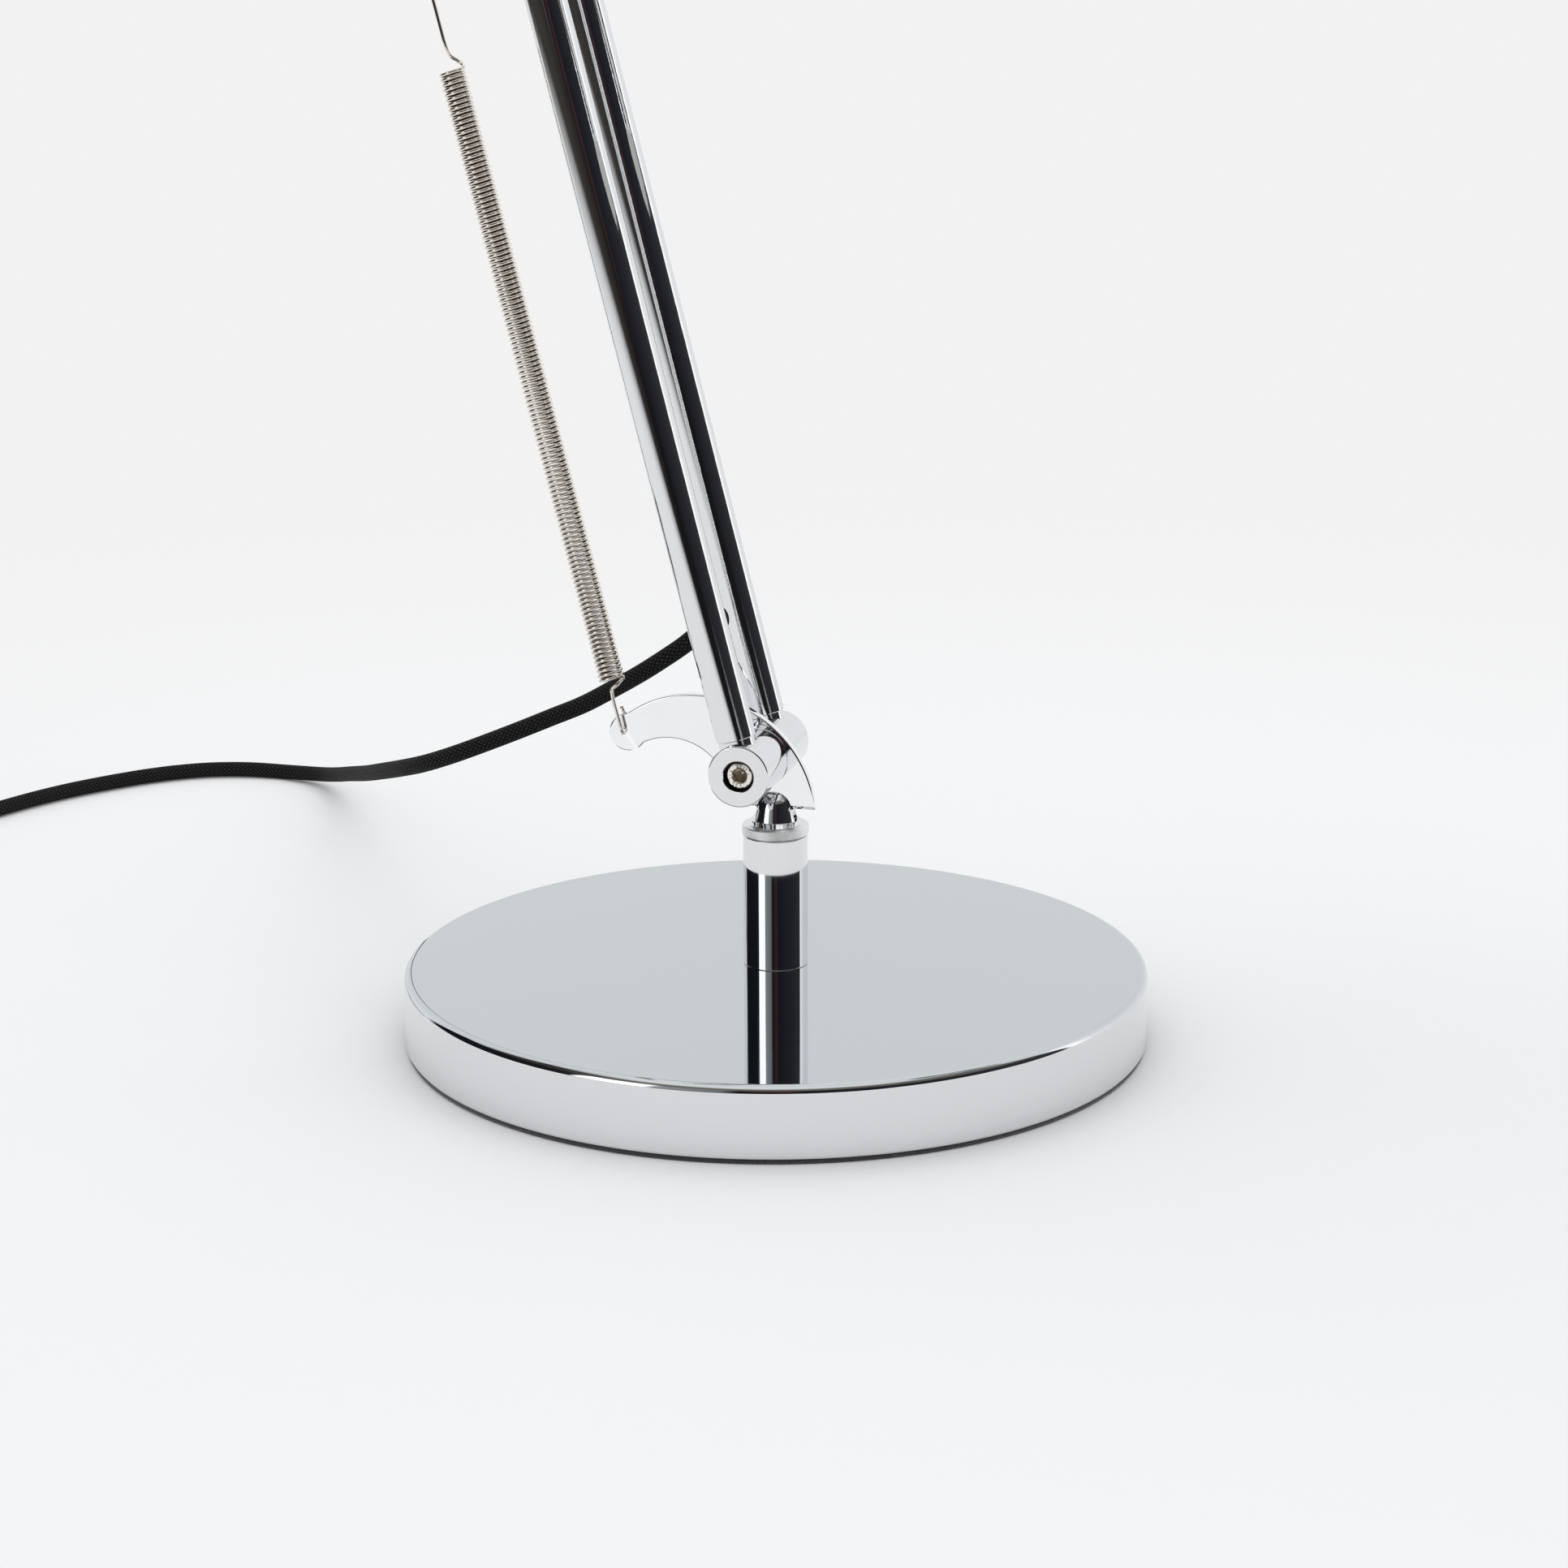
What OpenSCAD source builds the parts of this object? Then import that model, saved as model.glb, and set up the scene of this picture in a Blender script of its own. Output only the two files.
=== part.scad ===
// Desk lamp: round weighted base, short post with a swivel, a sprung lower arm and an upper arm
// of twin tubes, crescent brackets at the knuckles, a bell shade, and a cloth covered cord.
// Millimetres. Origin at the middle of the base, on the table. +Z up, the arms swing in the XZ plane.

/* [Base] */
// Diameter of the round base
base_d = 230; // [160:1:280]
// Height of the base from the table to its top face
base_h = 23.5; // [18:0.5:40]
// Radius of the base's top edge
base_edge_r = 2.5; // [1:0.5:5]
// Wall of the plated base cover
cover_wall = 1.2; // [0.8:0.1:2]
// Thickness of the felt under the base
felt_t = 1.6; // [1:0.1:3]
// How far the felt's edge lies inside the cover's edge
felt_inset = 0.5; // [0.5:0.5:6]

/* [Post] */
// Outer diameter of the post
post_d = 20; // [18:0.5:30]
// Wall of the post tube
post_wall = 1.5; // [1:0.1:1.7]
// Length of the post tube above the base
post_len = 41.3; // [32:0.1:120]
// Diameter of the threaded rod that holds the post to the base
rod_d = 10; // [8:1:10]
// Diameter of the satin collar on the post
collar_d = 20.6; // [20:0.1:34]
// Height of the collar
collar_h = 2.9; // [2:0.1:8]
// Width of the groove under the collar
collar_groove = 0.4; // [0.2:0.1:1]

/* [Swivel neck] */
// Diameter of the swivel's stem
stem_d = 8; // [6:0.5:9]
// Diameter of the neck's flange
neck_flange_d = 15.4; // [13:0.1:20]
// Thickness of the neck's flange
neck_flange_h = 1.6; // [1:0.1:4]
// Diameter of the neck's cone where it meets the flange
neck_cone_d = 12.4; // [11:0.1:15]
// Height of the neck's cone
neck_cone_h = 8.6; // [6:0.1:8.9]

/* [Arms] */
// Outer diameter of an arm tube
tube_d = 12.3; // [9:0.1:14]
// Wall of an arm tube
tube_wall = 1; // [0.6:0.1:1.4]
// Distance between the centres of an arm's two tubes
tube_spacing = 32.8; // [30:0.1:36]
// Lower arm, from pivot to pivot
lower_len = 360; // [280:1:480]
// Lean of the lower arm to the left of upright, in degrees
lower_lean = 14.4; // [0:0.1:25]
// Upper arm, from pivot to pivot
upper_len = 330; // [240:1:440]
// Rise of the upper arm above level, in degrees
upper_rise = 8; // [-10:1:25]
// Distance of the lower pivot to the left of the post's middle
pivot_left = 5.1; // [0:0.1:6]
// Height of the lower pivot above the top of the collar
pivot_above = 20.5; // [20:0.1:26]

/* [Knuckles] */
// Diameter of a barrel
barrel_d = 19; // [17:0.1:19]
// Length of a barrel
barrel_len = 21.7; // [18:0.1:24]
// Thickness of a bracket plate
plate_t = 3; // [2.5:0.1:6]
// Thickness of a friction washer
washer_t = 0.5; // [0.3:0.1:3]
// Diameter of a friction washer
washer_d = 15; // [12:0.5:17]
// Diameter of a pivot bolt's shank
bolt_d = 5; // [4:0.5:5]
// Diameter of a pivot bolt's head
bolt_head_d = 8.5; // [7.5:0.1:9]
// Diameter of the counterbore in a barrel's face
counterbore_d = 9.5; // [9.4:0.1:11]
// Depth of the counterbore
counterbore_depth = 6.5; // [5.5:0.1:7]
// Width of a pivot nut across its flats
nut_af = 8; // [7:0.1:8]
// Key size of the bolt's socket
key_af = 4; // [3:0.1:5]
// Length of the spigot that a barrel sends into its tube
spigot_len = 15; // [8:0.5:20]

/* [Brackets] */
// Radius of a crescent's outer edge
crescent_outer_r = 37.5; // [37:0.1:39]
// Radius of a crescent's inner edge
crescent_inner_r = 19; // [18:0.1:20]
// Radius of the horn's round end
horn_r = 5.9; // [5.5:0.1:6.5]
// Width of the slit that the spring hooks into
slit_w = 2.4; // [1.8:0.1:3]
// Distance from the elbow's pivot to the upper arm's root bolts
root_reach = 31; // [29:0.5:33]
// Radius of the elbow bracket's end round the root bolts
root_lobe_r = 11.4; // [10.5:0.1:12]
// Length of the head bracket from the pivot to its root
head_drop = 26; // [25:0.5:34]

/* [Spring] */
// Outer diameter of the spring
spring_d = 8.2; // [6:0.1:10]
// Diameter of the spring's wire
wire_d = 1.1; // [0.8:0.1:1.4]
// Length of the close part of the spring
coil_len = 190; // [150:1:200]
// Number of turns in the spring
coil_turns = 66; // [40:1:66]

/* [Head] */
// Diameter of the lamp cap
cap_d = 44; // [42:0.5:56]
// Height of the lamp cap
cap_h = 50; // [48:0.5:70]
// Wall of the cap
cap_wall = 1.2; // [0.8:0.1:1.6]
// Diameter of the shade's mouth
shade_d = 150; // [130:1:200]
// Height of the shade
shade_h = 105; // [100:1:150]
// Wall of the shade
shade_wall = 1; // [0.8:0.1:1.6]
// Radius of the shade's rolled rim
rim_r = 1.6; // [1.2:0.1:2.5]
// Diameter of the bulb's globe
bulb_d = 60; // [45:1:64]
// Diameter of the bulb's screw cap
bulb_cap_d = 26.4; // [26:0.1:27]
// Outer diameter of the lampholder's threaded skirt
holder_d = 34; // [32:0.5:37]
// Diameter of the push button
button_d = 7; // [5:0.5:8]
// Travel of the push button
button_travel = 2.5; // [1.5:0.5:2.5]

/* [Cord] */
// Diameter of the cloth covered cord
cord_d = 5.6; // [4.5:0.1:6]
// Clearance of the cord in its bushes
cord_clear = 0.1; // [0.05:0.05:0.3]
// Distance of a cord hole from the arm's pivot
cord_hole_at = 43; // [36:0.5:60]
// Turn of the lower cord hole towards the front, in degrees
cord_hole_turn = 38; // [0:1:60]
// Outer radius of the put away coil, to the middle of the cord
coil_outer_r = 42; // [40:0.5:50]
// Turns in the put away coil
cord_turns = 5.5; // [5.5:1:6.5]
// Thickness of the tie round the coil
tie_t = 0.8; // [0.6:0.1:1.2]
// Width of the tie
tie_w = 9; // [6:0.5:14]

/* [Plug] */
// Length of the plug's body
plug_l = 34; // [30:0.5:42]
// Width of the plug's body
plug_w = 27; // [25:0.5:34]
// Thickness of the plug's body
plug_t = 15; // [13:0.5:20]
// Length of the plug's strain relief
relief_l = 28; // [20:0.5:40]
// Diameter of a plug pin
pin_d = 4; // [4:0.1:4.8]
// Length of a plug pin
pin_l = 19; // [17:0.5:20]
// Distance between the two pins
pin_pitch = 19; // [17:0.1:19.5]

/* [Hidden] */
$fn = 64;

// Small clearances, each named for the fit that it makes
run_clear = 0.05;      // a shaft that turns in its bore
slip_clear = 0.1;      // a part that slides in and stays
seat_gap = 0.2;        // a tongue above the floor of its slot
cut_over = 1;          // how far a cutting shape runs past the face that it cuts

base_r = base_d / 2;
weight_top = base_h - cover_wall;
post_r = post_d / 2;
post_bore_r = post_r - post_wall;
post_top = base_h + post_len;
collar_z = post_top + collar_groove;
neck_z = collar_z + collar_h;
cone_z = neck_z + neck_flange_h;

// The rod's nut and washer sit in a recess under the weight
nut_m10_af = 17;
nut_m10_h = 8;
rod_washer_r = 14;
rod_washer_h = 2;
rod_recess_h = 11.8;
rod_tip = 2;
plug_foot_h = 12;
recess_top = felt_t + rod_recess_h;

// The swivel's spigot, washer and nut, inside the post
collar_spigot_h = 12;
stem_below = 24;
stem_nut_af = 13;
stem_nut_h = 6;
stem_washer_h = 1.6;

pivot = [-pivot_left, 0, neck_z + pivot_above];
inner_face = plate_t / 2 + washer_t;
outer_face = inner_face + barrel_len;
barrel_r = barrel_d / 2;
tube_r = tube_d / 2;
tube_bore_r = tube_r - tube_wall;
tube_y = tube_spacing / 2;
shoulder_past = 1;
shoulder_step = 0.45;
shoulder_at = barrel_r + shoulder_past;
shoulder_r = tube_bore_r + shoulder_step;
bolt_head_h = 5;
nut_h = 5;
bolt_short = 0.5;
bolt_end = outer_face - counterbore_depth + nut_h - bolt_short;

// Unit vectors of the lower arm in the XZ plane: up along it, and out to the spring's side
arm_up = [-sin(lower_lean), cos(lower_lean)];
arm_out = [-cos(lower_lean), -sin(lower_lean)];

// The spring's hook point on the lower bracket, from the pivot, and what follows from it
hook = [-42.6, 5.5];
spring_out = hook * arm_out;
hook_up = hook * arm_up;
horn_mid = [-41.6, 5.7];
slit_turn = -56;
slit_len = 9;
outer_mid = [-19.3, -18.4];
inner_mid = [-27.9, -14.3];
tail_drop = 15.3;
tongue_w = 11;
tongue_h = pivot[2] - tail_drop - cone_z;

// Where the upper arm starts on the elbow bracket, and the head's pivot
elbow = [pivot[0] + lower_len * arm_up[0], 0, pivot[2] + lower_len * arm_up[1]];
root_side = 2.6;
root_local = [-root_side, root_reach];
root_turned = turn_flat(root_local, lower_lean);
root = [elbow[0] + root_turned[0], 0, elbow[2] + root_turned[1]];
head = [root[0] + upper_len * cos(upper_rise), 0, root[2] + upper_len * sin(upper_rise)];

// Levels on the head, as distances below its pivot
head_root_rise = 2.6;
head_cone_w = head_drop - head_root_rise;
head_flange_w = head_cone_w + neck_cone_h;
cap_top_w = head_flange_w + neck_flange_h;
cap_end_w = cap_top_w + cap_h;
shade_end_w = cap_end_w + shade_h;
cap_r = cap_d / 2;
holder_r = holder_d / 2;
holder_step = 1;
holder_below_cap = 12;
skirt_below_cap = 14;
holder_body_r = holder_r + holder_step;
holder_top_w = cap_top_w + cap_wall + holder_below_cap;
holder_end_w = cap_end_w + skirt_below_cap;
holder_wall = 3;
shade_hole_r = holder_r + slip_clear;
shade_r = shade_d / 2;
ring_h = 4;
ring_wall = 5;
ring_r = holder_r + ring_wall;
button_x = 14;
button_y = 0;
switch_wall = 1;
switch_r = button_d / 2 + switch_wall;
gland_x = -14.5;
gland_wall = 1.6;
gland_r = cord_d / 2 + gland_wall;

spring_r = (spring_d - wire_d) / 2;
hook_len = 16.6;
coil_start = hook_up + hook_len;
coil_end = coil_start + coil_len;
link_hook_up = lower_len - hook_up;

cord_r = cord_d / 2;
bush_wall = 0.6;
bush_r = cord_r + bush_wall;

// Free cord: from the rear tube's hole to the table, and on to the coil
drop_points = [
    [-21.6, 11.8, 128.2], [-25.7, 10.3, 125.3], [-31.2, 8.8, 120.6], [-37.7, 8.4, 115.9],
    [-46, 11, 110.2], [-56.3, 16.4, 103.6], [-67.7, 20, 96.8], [-78.9, 22, 91.5], [-84.5, 22.5, 88.9]
];
run_points = [
    [-84.8, 22.5, 88.8], [-91.7, 23.2, 85.6], [-102, 24.4, 81], [-114, 26.2, 75.8], [-126, 31.5, 70.7],
    [-139, 45, 64.8], [-158.3, 76, 54.4], [-183.3, 125, 39.3], [-213.8, 185.5, 21.3],
    [-231, 217, 11.7], [-246, 238, 5.3], [-263, 246, 3], [-279, 246, 3], [-294, 242, 3],
    [-306, 234.5, 3], [-316, 225, 3],
    [-326, 212.5, 3], [-335, 199, 3], [-342.5, 184.5, 3], [-349, 169, 3], [-357, 149.5, 3],
    [-366, 128, 3.4], [-374, 108, 3.7]
];
coil_heading = -111.8;
tail_points = [
    [-452, 139.2, 10], [-445.2, 157, 9], [-441.5, 176, 7.2], [-443.5, 195, 6.5], [-451, 213, 7.2],
    [-461, 229, 7.5]
];
plug_heading = 122;
turn_gap = 0.6;
turn_pitch = cord_d + turn_gap;
coil_inner_r = coil_outer_r - turn_pitch * cord_turns / 2;
tie_gap = 0.1;
cord_z = cord_r + tie_t + tie_gap;

// Sides and rings of the swept tubes
cord_sides = 8;
form_sides = 6;
rings_per_loop = 24;
rings_per_curl = 8;

// Vectors and sweeps

function unit(v) = v / norm(v);
function turn_flat(v, a) = [v[0] * cos(a) - v[1] * sin(a), v[0] * sin(a) + v[1] * cos(a)];
function tangent(p, i) = unit(p[min(i + 1, len(p) - 1)] - p[max(i - 1, 0)]);
function square_to(n, t) = unit(n - (n * t) * t);
function start_normal(t) = square_to(abs(t[2]) < 0.9 ? [0, 0, 1] : [1, 0, 0], t);

// A normal for each point, carried along the path without twist
function normals(p) = [
    for (i = 0, n = start_normal(tangent(p, 0)); i < len(p);
         i = i + 1, n = i < len(p) ? square_to(n, tangent(p, i)) : n) n
];

function ring(p, n, t, r, sides) = [
    for (k = [0 : sides - 1])
        p + r * cos(360 * (k + 0.5) / sides) * n + r * sin(360 * (k + 0.5) / sides) * cross(t, n)
];

// A tube of flat sides along the points p
module swept(p, r, sides) {
    n = normals(p);
    last = len(p) - 1;
    pts = [for (i = [0 : last]) each ring(p[i], n[i], tangent(p, i), r, sides)];
    walls = [
        for (i = [0 : last - 1], k = [0 : sides - 1])
            let (a = i * sides + k, b = i * sides + (k + 1) % sides)
            each [[a, a + sides, b], [b, a + sides, b + sides]]
    ];
    start_cap = [for (k = [1 : sides - 2]) [0, k, k + 1]];
    end_cap = [for (k = [1 : sides - 2]) [last * sides, last * sides + k + 1, last * sides + k]];
    polyhedron(points = pts, faces = concat(walls, start_cap, end_cap));
}

// Places along the arms. Z runs up the arm from its pivot.

module at_lower(up = 0) {
    translate(pivot) rotate([0, -lower_lean, 0]) translate([0, 0, up]) children();
}

module at_upper(up = 0) {
    translate(root) rotate([0, 90 - upper_rise, 0]) translate([0, 0, up]) children();
}

module at_head(down = 0) {
    translate(head) translate([0, 0, -down]) children();
}

// A shape drawn in the XZ plane, made a plate about the plane Y = 0
module plate(t) {
    rotate([90, 0, 0]) linear_extrude(height = t, center = true) children();
}

// A round bar along Y, from y0 to y1
module bar_y(r, y0, y1) {
    translate([0, y1, 0]) rotate([90, 0, 0]) cylinder(r = r, h = y1 - y0);
}

module ring_y(r, bore, y0, y1) {
    difference() {
        bar_y(r, y0, y1);
        bar_y(bore, y0 - cut_over, y1 + cut_over);
    }
}

module hex_z(af, h) {
    cylinder(r = af / 2 / cos(30), h = h, $fn = 6);
}

// Knuckle parts, drawn with the pivot along Y and the tube up along Z. side is -1 in front, 1 behind.

module barrel(side) {
    from = side > 0 ? inner_face : -outer_face;
    to = side > 0 ? outer_face : -inner_face;
    mouth = side > 0 ? [outer_face - counterbore_depth, outer_face + cut_over]
                     : [-outer_face - cut_over, -outer_face + counterbore_depth];
    difference() {
        union() {
            bar_y(barrel_r, from, to);
            translate([0, side * tube_y, 0]) cylinder(r = shoulder_r, h = shoulder_at);
            translate([0, side * tube_y, 0])
                cylinder(r = tube_bore_r - slip_clear, h = shoulder_at + spigot_len);
        }
        bar_y(bolt_d / 2 + run_clear, from - cut_over, to + cut_over);
        bar_y(counterbore_d / 2, mouth[0], mouth[1]);
    }
}

module bolt() {
    head_y = -outer_face + counterbore_depth;
    difference() {
        union() {
            bar_y(bolt_head_d / 2, head_y - bolt_head_h, head_y);
            bar_y(bolt_d / 2, head_y - 0.5, bolt_end);
        }
        translate([0, head_y - bolt_head_h + 2.6, 0]) rotate([90, 0, 0]) hex_z(key_af, 2.6 + cut_over);
    }
}

module nut() {
    nut_y = outer_face - counterbore_depth;
    difference() {
        translate([0, nut_y + nut_h, 0]) rotate([90, 0, 0]) hex_z(nut_af, nut_h);
        bar_y(bolt_d / 2, nut_y - cut_over, nut_y + nut_h + cut_over);
    }
}

module friction_washers() {
    for (side = [-1, 1])
        ring_y(washer_d / 2, bolt_d / 2 + run_clear,
               side > 0 ? plate_t / 2 : -inner_face, side > 0 ? inner_face : -plate_t / 2);
}

// A cord hole in a rear tube: a round cut in the tube's wall, turned about the tube
module cord_hole(turn, r) {
    rotate([0, 0, turn]) rotate([0, 90, 0]) cylinder(r = r, h = tube_r + cut_over);
}

module arm_tube(len, side, holes) {
    difference() {
        translate([0, side * tube_y, shoulder_at]) cylinder(r = tube_r, h = len - 2 * shoulder_at);
        translate([0, side * tube_y, shoulder_at - cut_over])
            cylinder(r = tube_bore_r, h = len - 2 * shoulder_at + 2 * cut_over);
        for (hole = holes) translate([0, side * tube_y, hole[0]]) cord_hole(hole[1], bush_r);
    }
}

// A thin bush that lines a cord hole. It stands a little out of the tube.
bush_in = tube_bore_r - 0.6;
bush_out = tube_r + 0.35;
module cord_bush(at, turn) {
    translate([0, tube_y, at]) rotate([0, 0, turn]) rotate([0, 90, 0]) difference() {
        translate([0, 0, bush_in]) cylinder(r = bush_r - run_clear, h = bush_out - bush_in);
        translate([0, 0, bush_in - cut_over])
            cylinder(r = cord_r + cord_clear, h = bush_out - bush_in + 2 * cut_over);
    }
}

// Bracket plates, drawn in the XZ plane from the pivot

// A round boss of the plate's thickness at a place in the XZ plane
module boss(at, r) {
    translate([at[0], 0, at[1]]) bar_y(r, -plate_t / 2, plate_t / 2);
}

module bolt_hole(at) {
    translate([at[0], 0, at[1]]) bar_y(bolt_d / 2 + run_clear, -plate_t, plate_t);
}

module slit() {
    translate([hook[0], 0, hook[1]]) rotate([0, -slit_turn, 0]) {
        bar_y(slit_w / 2, -plate_t, plate_t);
        translate([0, -plate_t, -slit_w / 2]) cube([slit_len, 2 * plate_t, slit_w]);
    }
}

// The crescent band between two circles, as far round as the wedge goes
module crescent_band(wedge) {
    plate(plate_t) difference() {
        intersection() {
            translate(outer_mid) circle(r = crescent_outer_r, $fn = 128);
            polygon(wedge);
        }
        translate(inner_mid) circle(r = crescent_inner_r, $fn = 128);
    }
}

far = 70;
horn_past = [-0.9, -0.85];
horn_ray = unit(horn_mid + horn_past - outer_mid);

module lower_bracket_plate() {
    difference() {
        union() {
            crescent_band([
                outer_mid, outer_mid + far * horn_ray, [outer_mid[0] + far * horn_ray[0], far],
                [far, far], [far, -tail_drop], [outer_mid[0], -tail_drop]
            ]);
            boss(horn_mid, horn_r);
            translate([-pivot[0] - tongue_w / 2, -plate_t / 2, -tail_drop - tongue_h + seat_gap])
                cube([tongue_w, plate_t, tongue_h - seat_gap + cut_over]);
        }
        slit();
        bolt_hole([0, 0]);
    }
}

// The elbow's crescent is the lower one turned over end for end, and runs on round the root bolts
module elbow_bracket_plate() {
    lobe_ray = unit(turn_flat([root_local[0], -root_local[1]], lower_lean) - outer_mid);
    difference() {
        union() {
            turned_over() crescent_band([
                outer_mid, outer_mid + far * horn_ray, [outer_mid[0] + far * horn_ray[0], far],
                [far, far], [far, outer_mid[1]], outer_mid + far * lobe_ray
            ]);
            turned_over() boss(horn_mid, horn_r);
            boss(root_turned, root_lobe_r);
        }
        turned_over() slit();
        bolt_hole([0, 0]);
        bolt_hole(root_turned);
    }
}

module turned_over() {
    rotate([0, -lower_lean, 0]) mirror([0, 0, 1]) rotate([0, lower_lean, 0]) children();
}

// A plate with a round end about the pivot and straight sides down to a foot that is 2 * foot wide
module link_plate(r, foot, len) {
    difference() {
        union() {
            boss([0, 0], r);
            plate(plate_t) polygon([[r - 0.3, 0], [foot, -len], [-foot, -len], [0.3 - r, 0]]);
        }
        bolt_hole([0, 0]);
    }
}

// Base and post

module base_cover() color("silver") {
    difference() {
        rotate_extrude($fn = 256) difference() {
            union() {
                translate([0, felt_t]) square([base_r, base_h - felt_t - base_edge_r]);
                translate([0, felt_t]) square([base_r - base_edge_r, base_h - felt_t]);
                translate([base_r - base_edge_r, base_h - base_edge_r]) circle(r = base_edge_r);
            }
            translate([0, felt_t - cut_over]) square([base_r - cover_wall, weight_top - felt_t + cut_over]);
        }
        translate([0, 0, weight_top - cut_over])
            cylinder(r = rod_d / 2 + slip_clear, h = cover_wall + 2 * cut_over);
    }
}

module base_weight() color("dimgray") {
    difference() {
        translate([0, 0, felt_t])
            cylinder(r = base_r - cover_wall - slip_clear, h = weight_top - felt_t, $fn = 256);
        translate([0, 0, felt_t - cut_over]) cylinder(r = rod_d / 2 + slip_clear, h = base_h);
        translate([0, 0, felt_t - cut_over]) cylinder(r = rod_washer_r + 1, h = rod_recess_h + cut_over);
    }
}

module base_felt() color([0.06, 0.06, 0.07]) {
    cylinder(r = base_r - felt_inset, h = felt_t, $fn = 256);
}

module post() color("gainsboro") {
    difference() {
        translate([0, 0, base_h]) cylinder(r = post_r, h = post_len);
        translate([0, 0, base_h + plug_foot_h]) cylinder(r = post_bore_r, h = post_len);
        translate([0, 0, base_h - cut_over]) cylinder(r = rod_d / 2, h = plug_foot_h + 2 * cut_over);
    }
}

module post_rod() color("darkgray") {
    rod_len = base_h + plug_foot_h - 1 - felt_t - rod_tip;
    translate([0, 0, felt_t + rod_tip]) cylinder(r = rod_d / 2, h = rod_len);
}

module post_washer() color("darkgray") {
    difference() {
        translate([0, 0, recess_top - rod_washer_h]) cylinder(r = rod_washer_r, h = rod_washer_h);
        translate([0, 0, recess_top - rod_washer_h - cut_over])
            cylinder(r = rod_d / 2 + slip_clear, h = rod_washer_h + 2 * cut_over);
    }
}

module post_nut() color("darkgray") {
    difference() {
        translate([0, 0, recess_top - rod_washer_h - nut_m10_h]) hex_z(nut_m10_af, nut_m10_h);
        translate([0, 0, recess_top - rod_washer_h - nut_m10_h - cut_over])
            cylinder(r = rod_d / 2, h = nut_m10_h + 2 * cut_over);
    }
}

// The collar's spigot is pressed into the post, and its bore is the swivel's bearing
module collar() color("lightgray") {
    whole_h = collar_spigot_h + collar_groove + collar_h;
    difference() {
        union() {
            translate([0, 0, collar_z]) cylinder(r = collar_d / 2, h = collar_h);
            translate([0, 0, post_top - collar_spigot_h])
                cylinder(r = post_bore_r - slip_clear, h = collar_spigot_h + collar_groove);
        }
        translate([0, 0, post_top - collar_spigot_h - cut_over])
            cylinder(r = stem_d / 2 + run_clear, h = whole_h + 2 * cut_over);
    }
}

// The neck's outline above its flange: how far it draws in, and at what share of its height
neck_dome = [[0, 0], [0.4, 0.5], [1, 0.7], [1.9, 0.85], [2.8, 0.95], [3.5, 1]];

// Swivel neck, drawn with the flange's foot at Z = 0 and the stem below it
module neck_body(stem) {
    difference() {
        union() {
            rotate_extrude() polygon(concat(
                [[0, 0], [neck_flange_d / 2, 0], [neck_flange_d / 2, neck_flange_h]],
                [for (q = neck_dome) [neck_cone_d / 2 - q[0], neck_flange_h + q[1] * neck_cone_h]],
                [[0, neck_flange_h + neck_cone_h]]
            ));
            translate([0, 0, -stem]) cylinder(r = stem_d / 2, h = stem + 0.5);
        }
        translate([-neck_flange_d, -plate_t / 2, neck_flange_h])
            cube([2 * neck_flange_d, plate_t, neck_cone_h + cut_over]);
        translate([0, 0, neck_flange_h + pin_up]) bar_y(pin_r, -neck_cone_d, neck_cone_d);
    }
}

pin_r = 1.25;
pin_up = 2.6;

module swivel_neck() color("silver") {
    translate([0, 0, neck_z]) neck_body(stem_below);
}

module neck_washer() color("darkgray") {
    translate([0, 0, post_top - collar_spigot_h - stem_washer_h]) difference() {
        cylinder(r = post_bore_r - 1, h = stem_washer_h);
        translate([0, 0, -cut_over]) cylinder(r = stem_d / 2 + run_clear, h = stem_washer_h + 2 * cut_over);
    }
}

module stem_nut() {
    difference() {
        hex_z(stem_nut_af, stem_nut_h);
        translate([0, 0, -cut_over]) cylinder(r = stem_d / 2, h = stem_nut_h + 2 * cut_over);
    }
}

module neck_nut() color("darkgray") {
    translate([0, 0, post_top - collar_spigot_h - stem_washer_h - stem_nut_h]) stem_nut();
}

module lower_bracket() color("silver") {
    difference() {
        translate(pivot) lower_bracket_plate();
        translate([0, 0, cone_z + pin_up]) bar_y(pin_r, -plate_t, plate_t);
    }
}

module bracket_pin() color("darkgray") {
    translate([0, 0, cone_z + pin_up]) bar_y(pin_r, -neck_cone_d / 2 + 1, neck_cone_d / 2 - 1);
}

module lower_friction_washers() color("darkgray") {
    translate(pivot) friction_washers();
}

// Lower arm

lower_holes = [[cord_hole_at, 180 + cord_hole_turn], [lower_len - cord_hole_at, 0]];

module lower_barrel_front() color("silver") { at_lower() barrel(-1); }
module lower_barrel_rear() color("silver") { at_lower() barrel(1); }
module elbow_barrel_front() color("silver") { at_lower(lower_len) mirror([0, 0, 1]) barrel(-1); }
module elbow_barrel_rear() color("silver") { at_lower(lower_len) mirror([0, 0, 1]) barrel(1); }
module lower_tube_front() color("silver") { at_lower() arm_tube(lower_len, -1, []); }
module lower_tube_rear() color("silver") { at_lower() arm_tube(lower_len, 1, lower_holes); }

module lower_arm_bolts() color("darkkhaki") {
    for (up = [0, lower_len]) at_lower(up) bolt();
}

module lower_arm_nuts() color("darkgray") {
    for (up = [0, lower_len]) at_lower(up) nut();
}

module lower_cord_bushes() color([0.05, 0.05, 0.05]) {
    at_lower() for (hole = lower_holes) cord_bush(hole[0], hole[1]);
}

// Turn of a vector by degrees about Y, as the arms' own frames are turned
function turn_y(v, a) = [v[0] * cos(a) + v[2] * sin(a), v[1], -v[0] * sin(a) + v[2] * cos(a)];
function on_lower(v) = pivot + turn_y(v, -lower_lean);
function on_upper(v) = root + turn_y(v, 90 - upper_rise);

inner_cable_gap = 6;
cable_rest = tube_bore_r - cord_r - 0.2;

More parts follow.
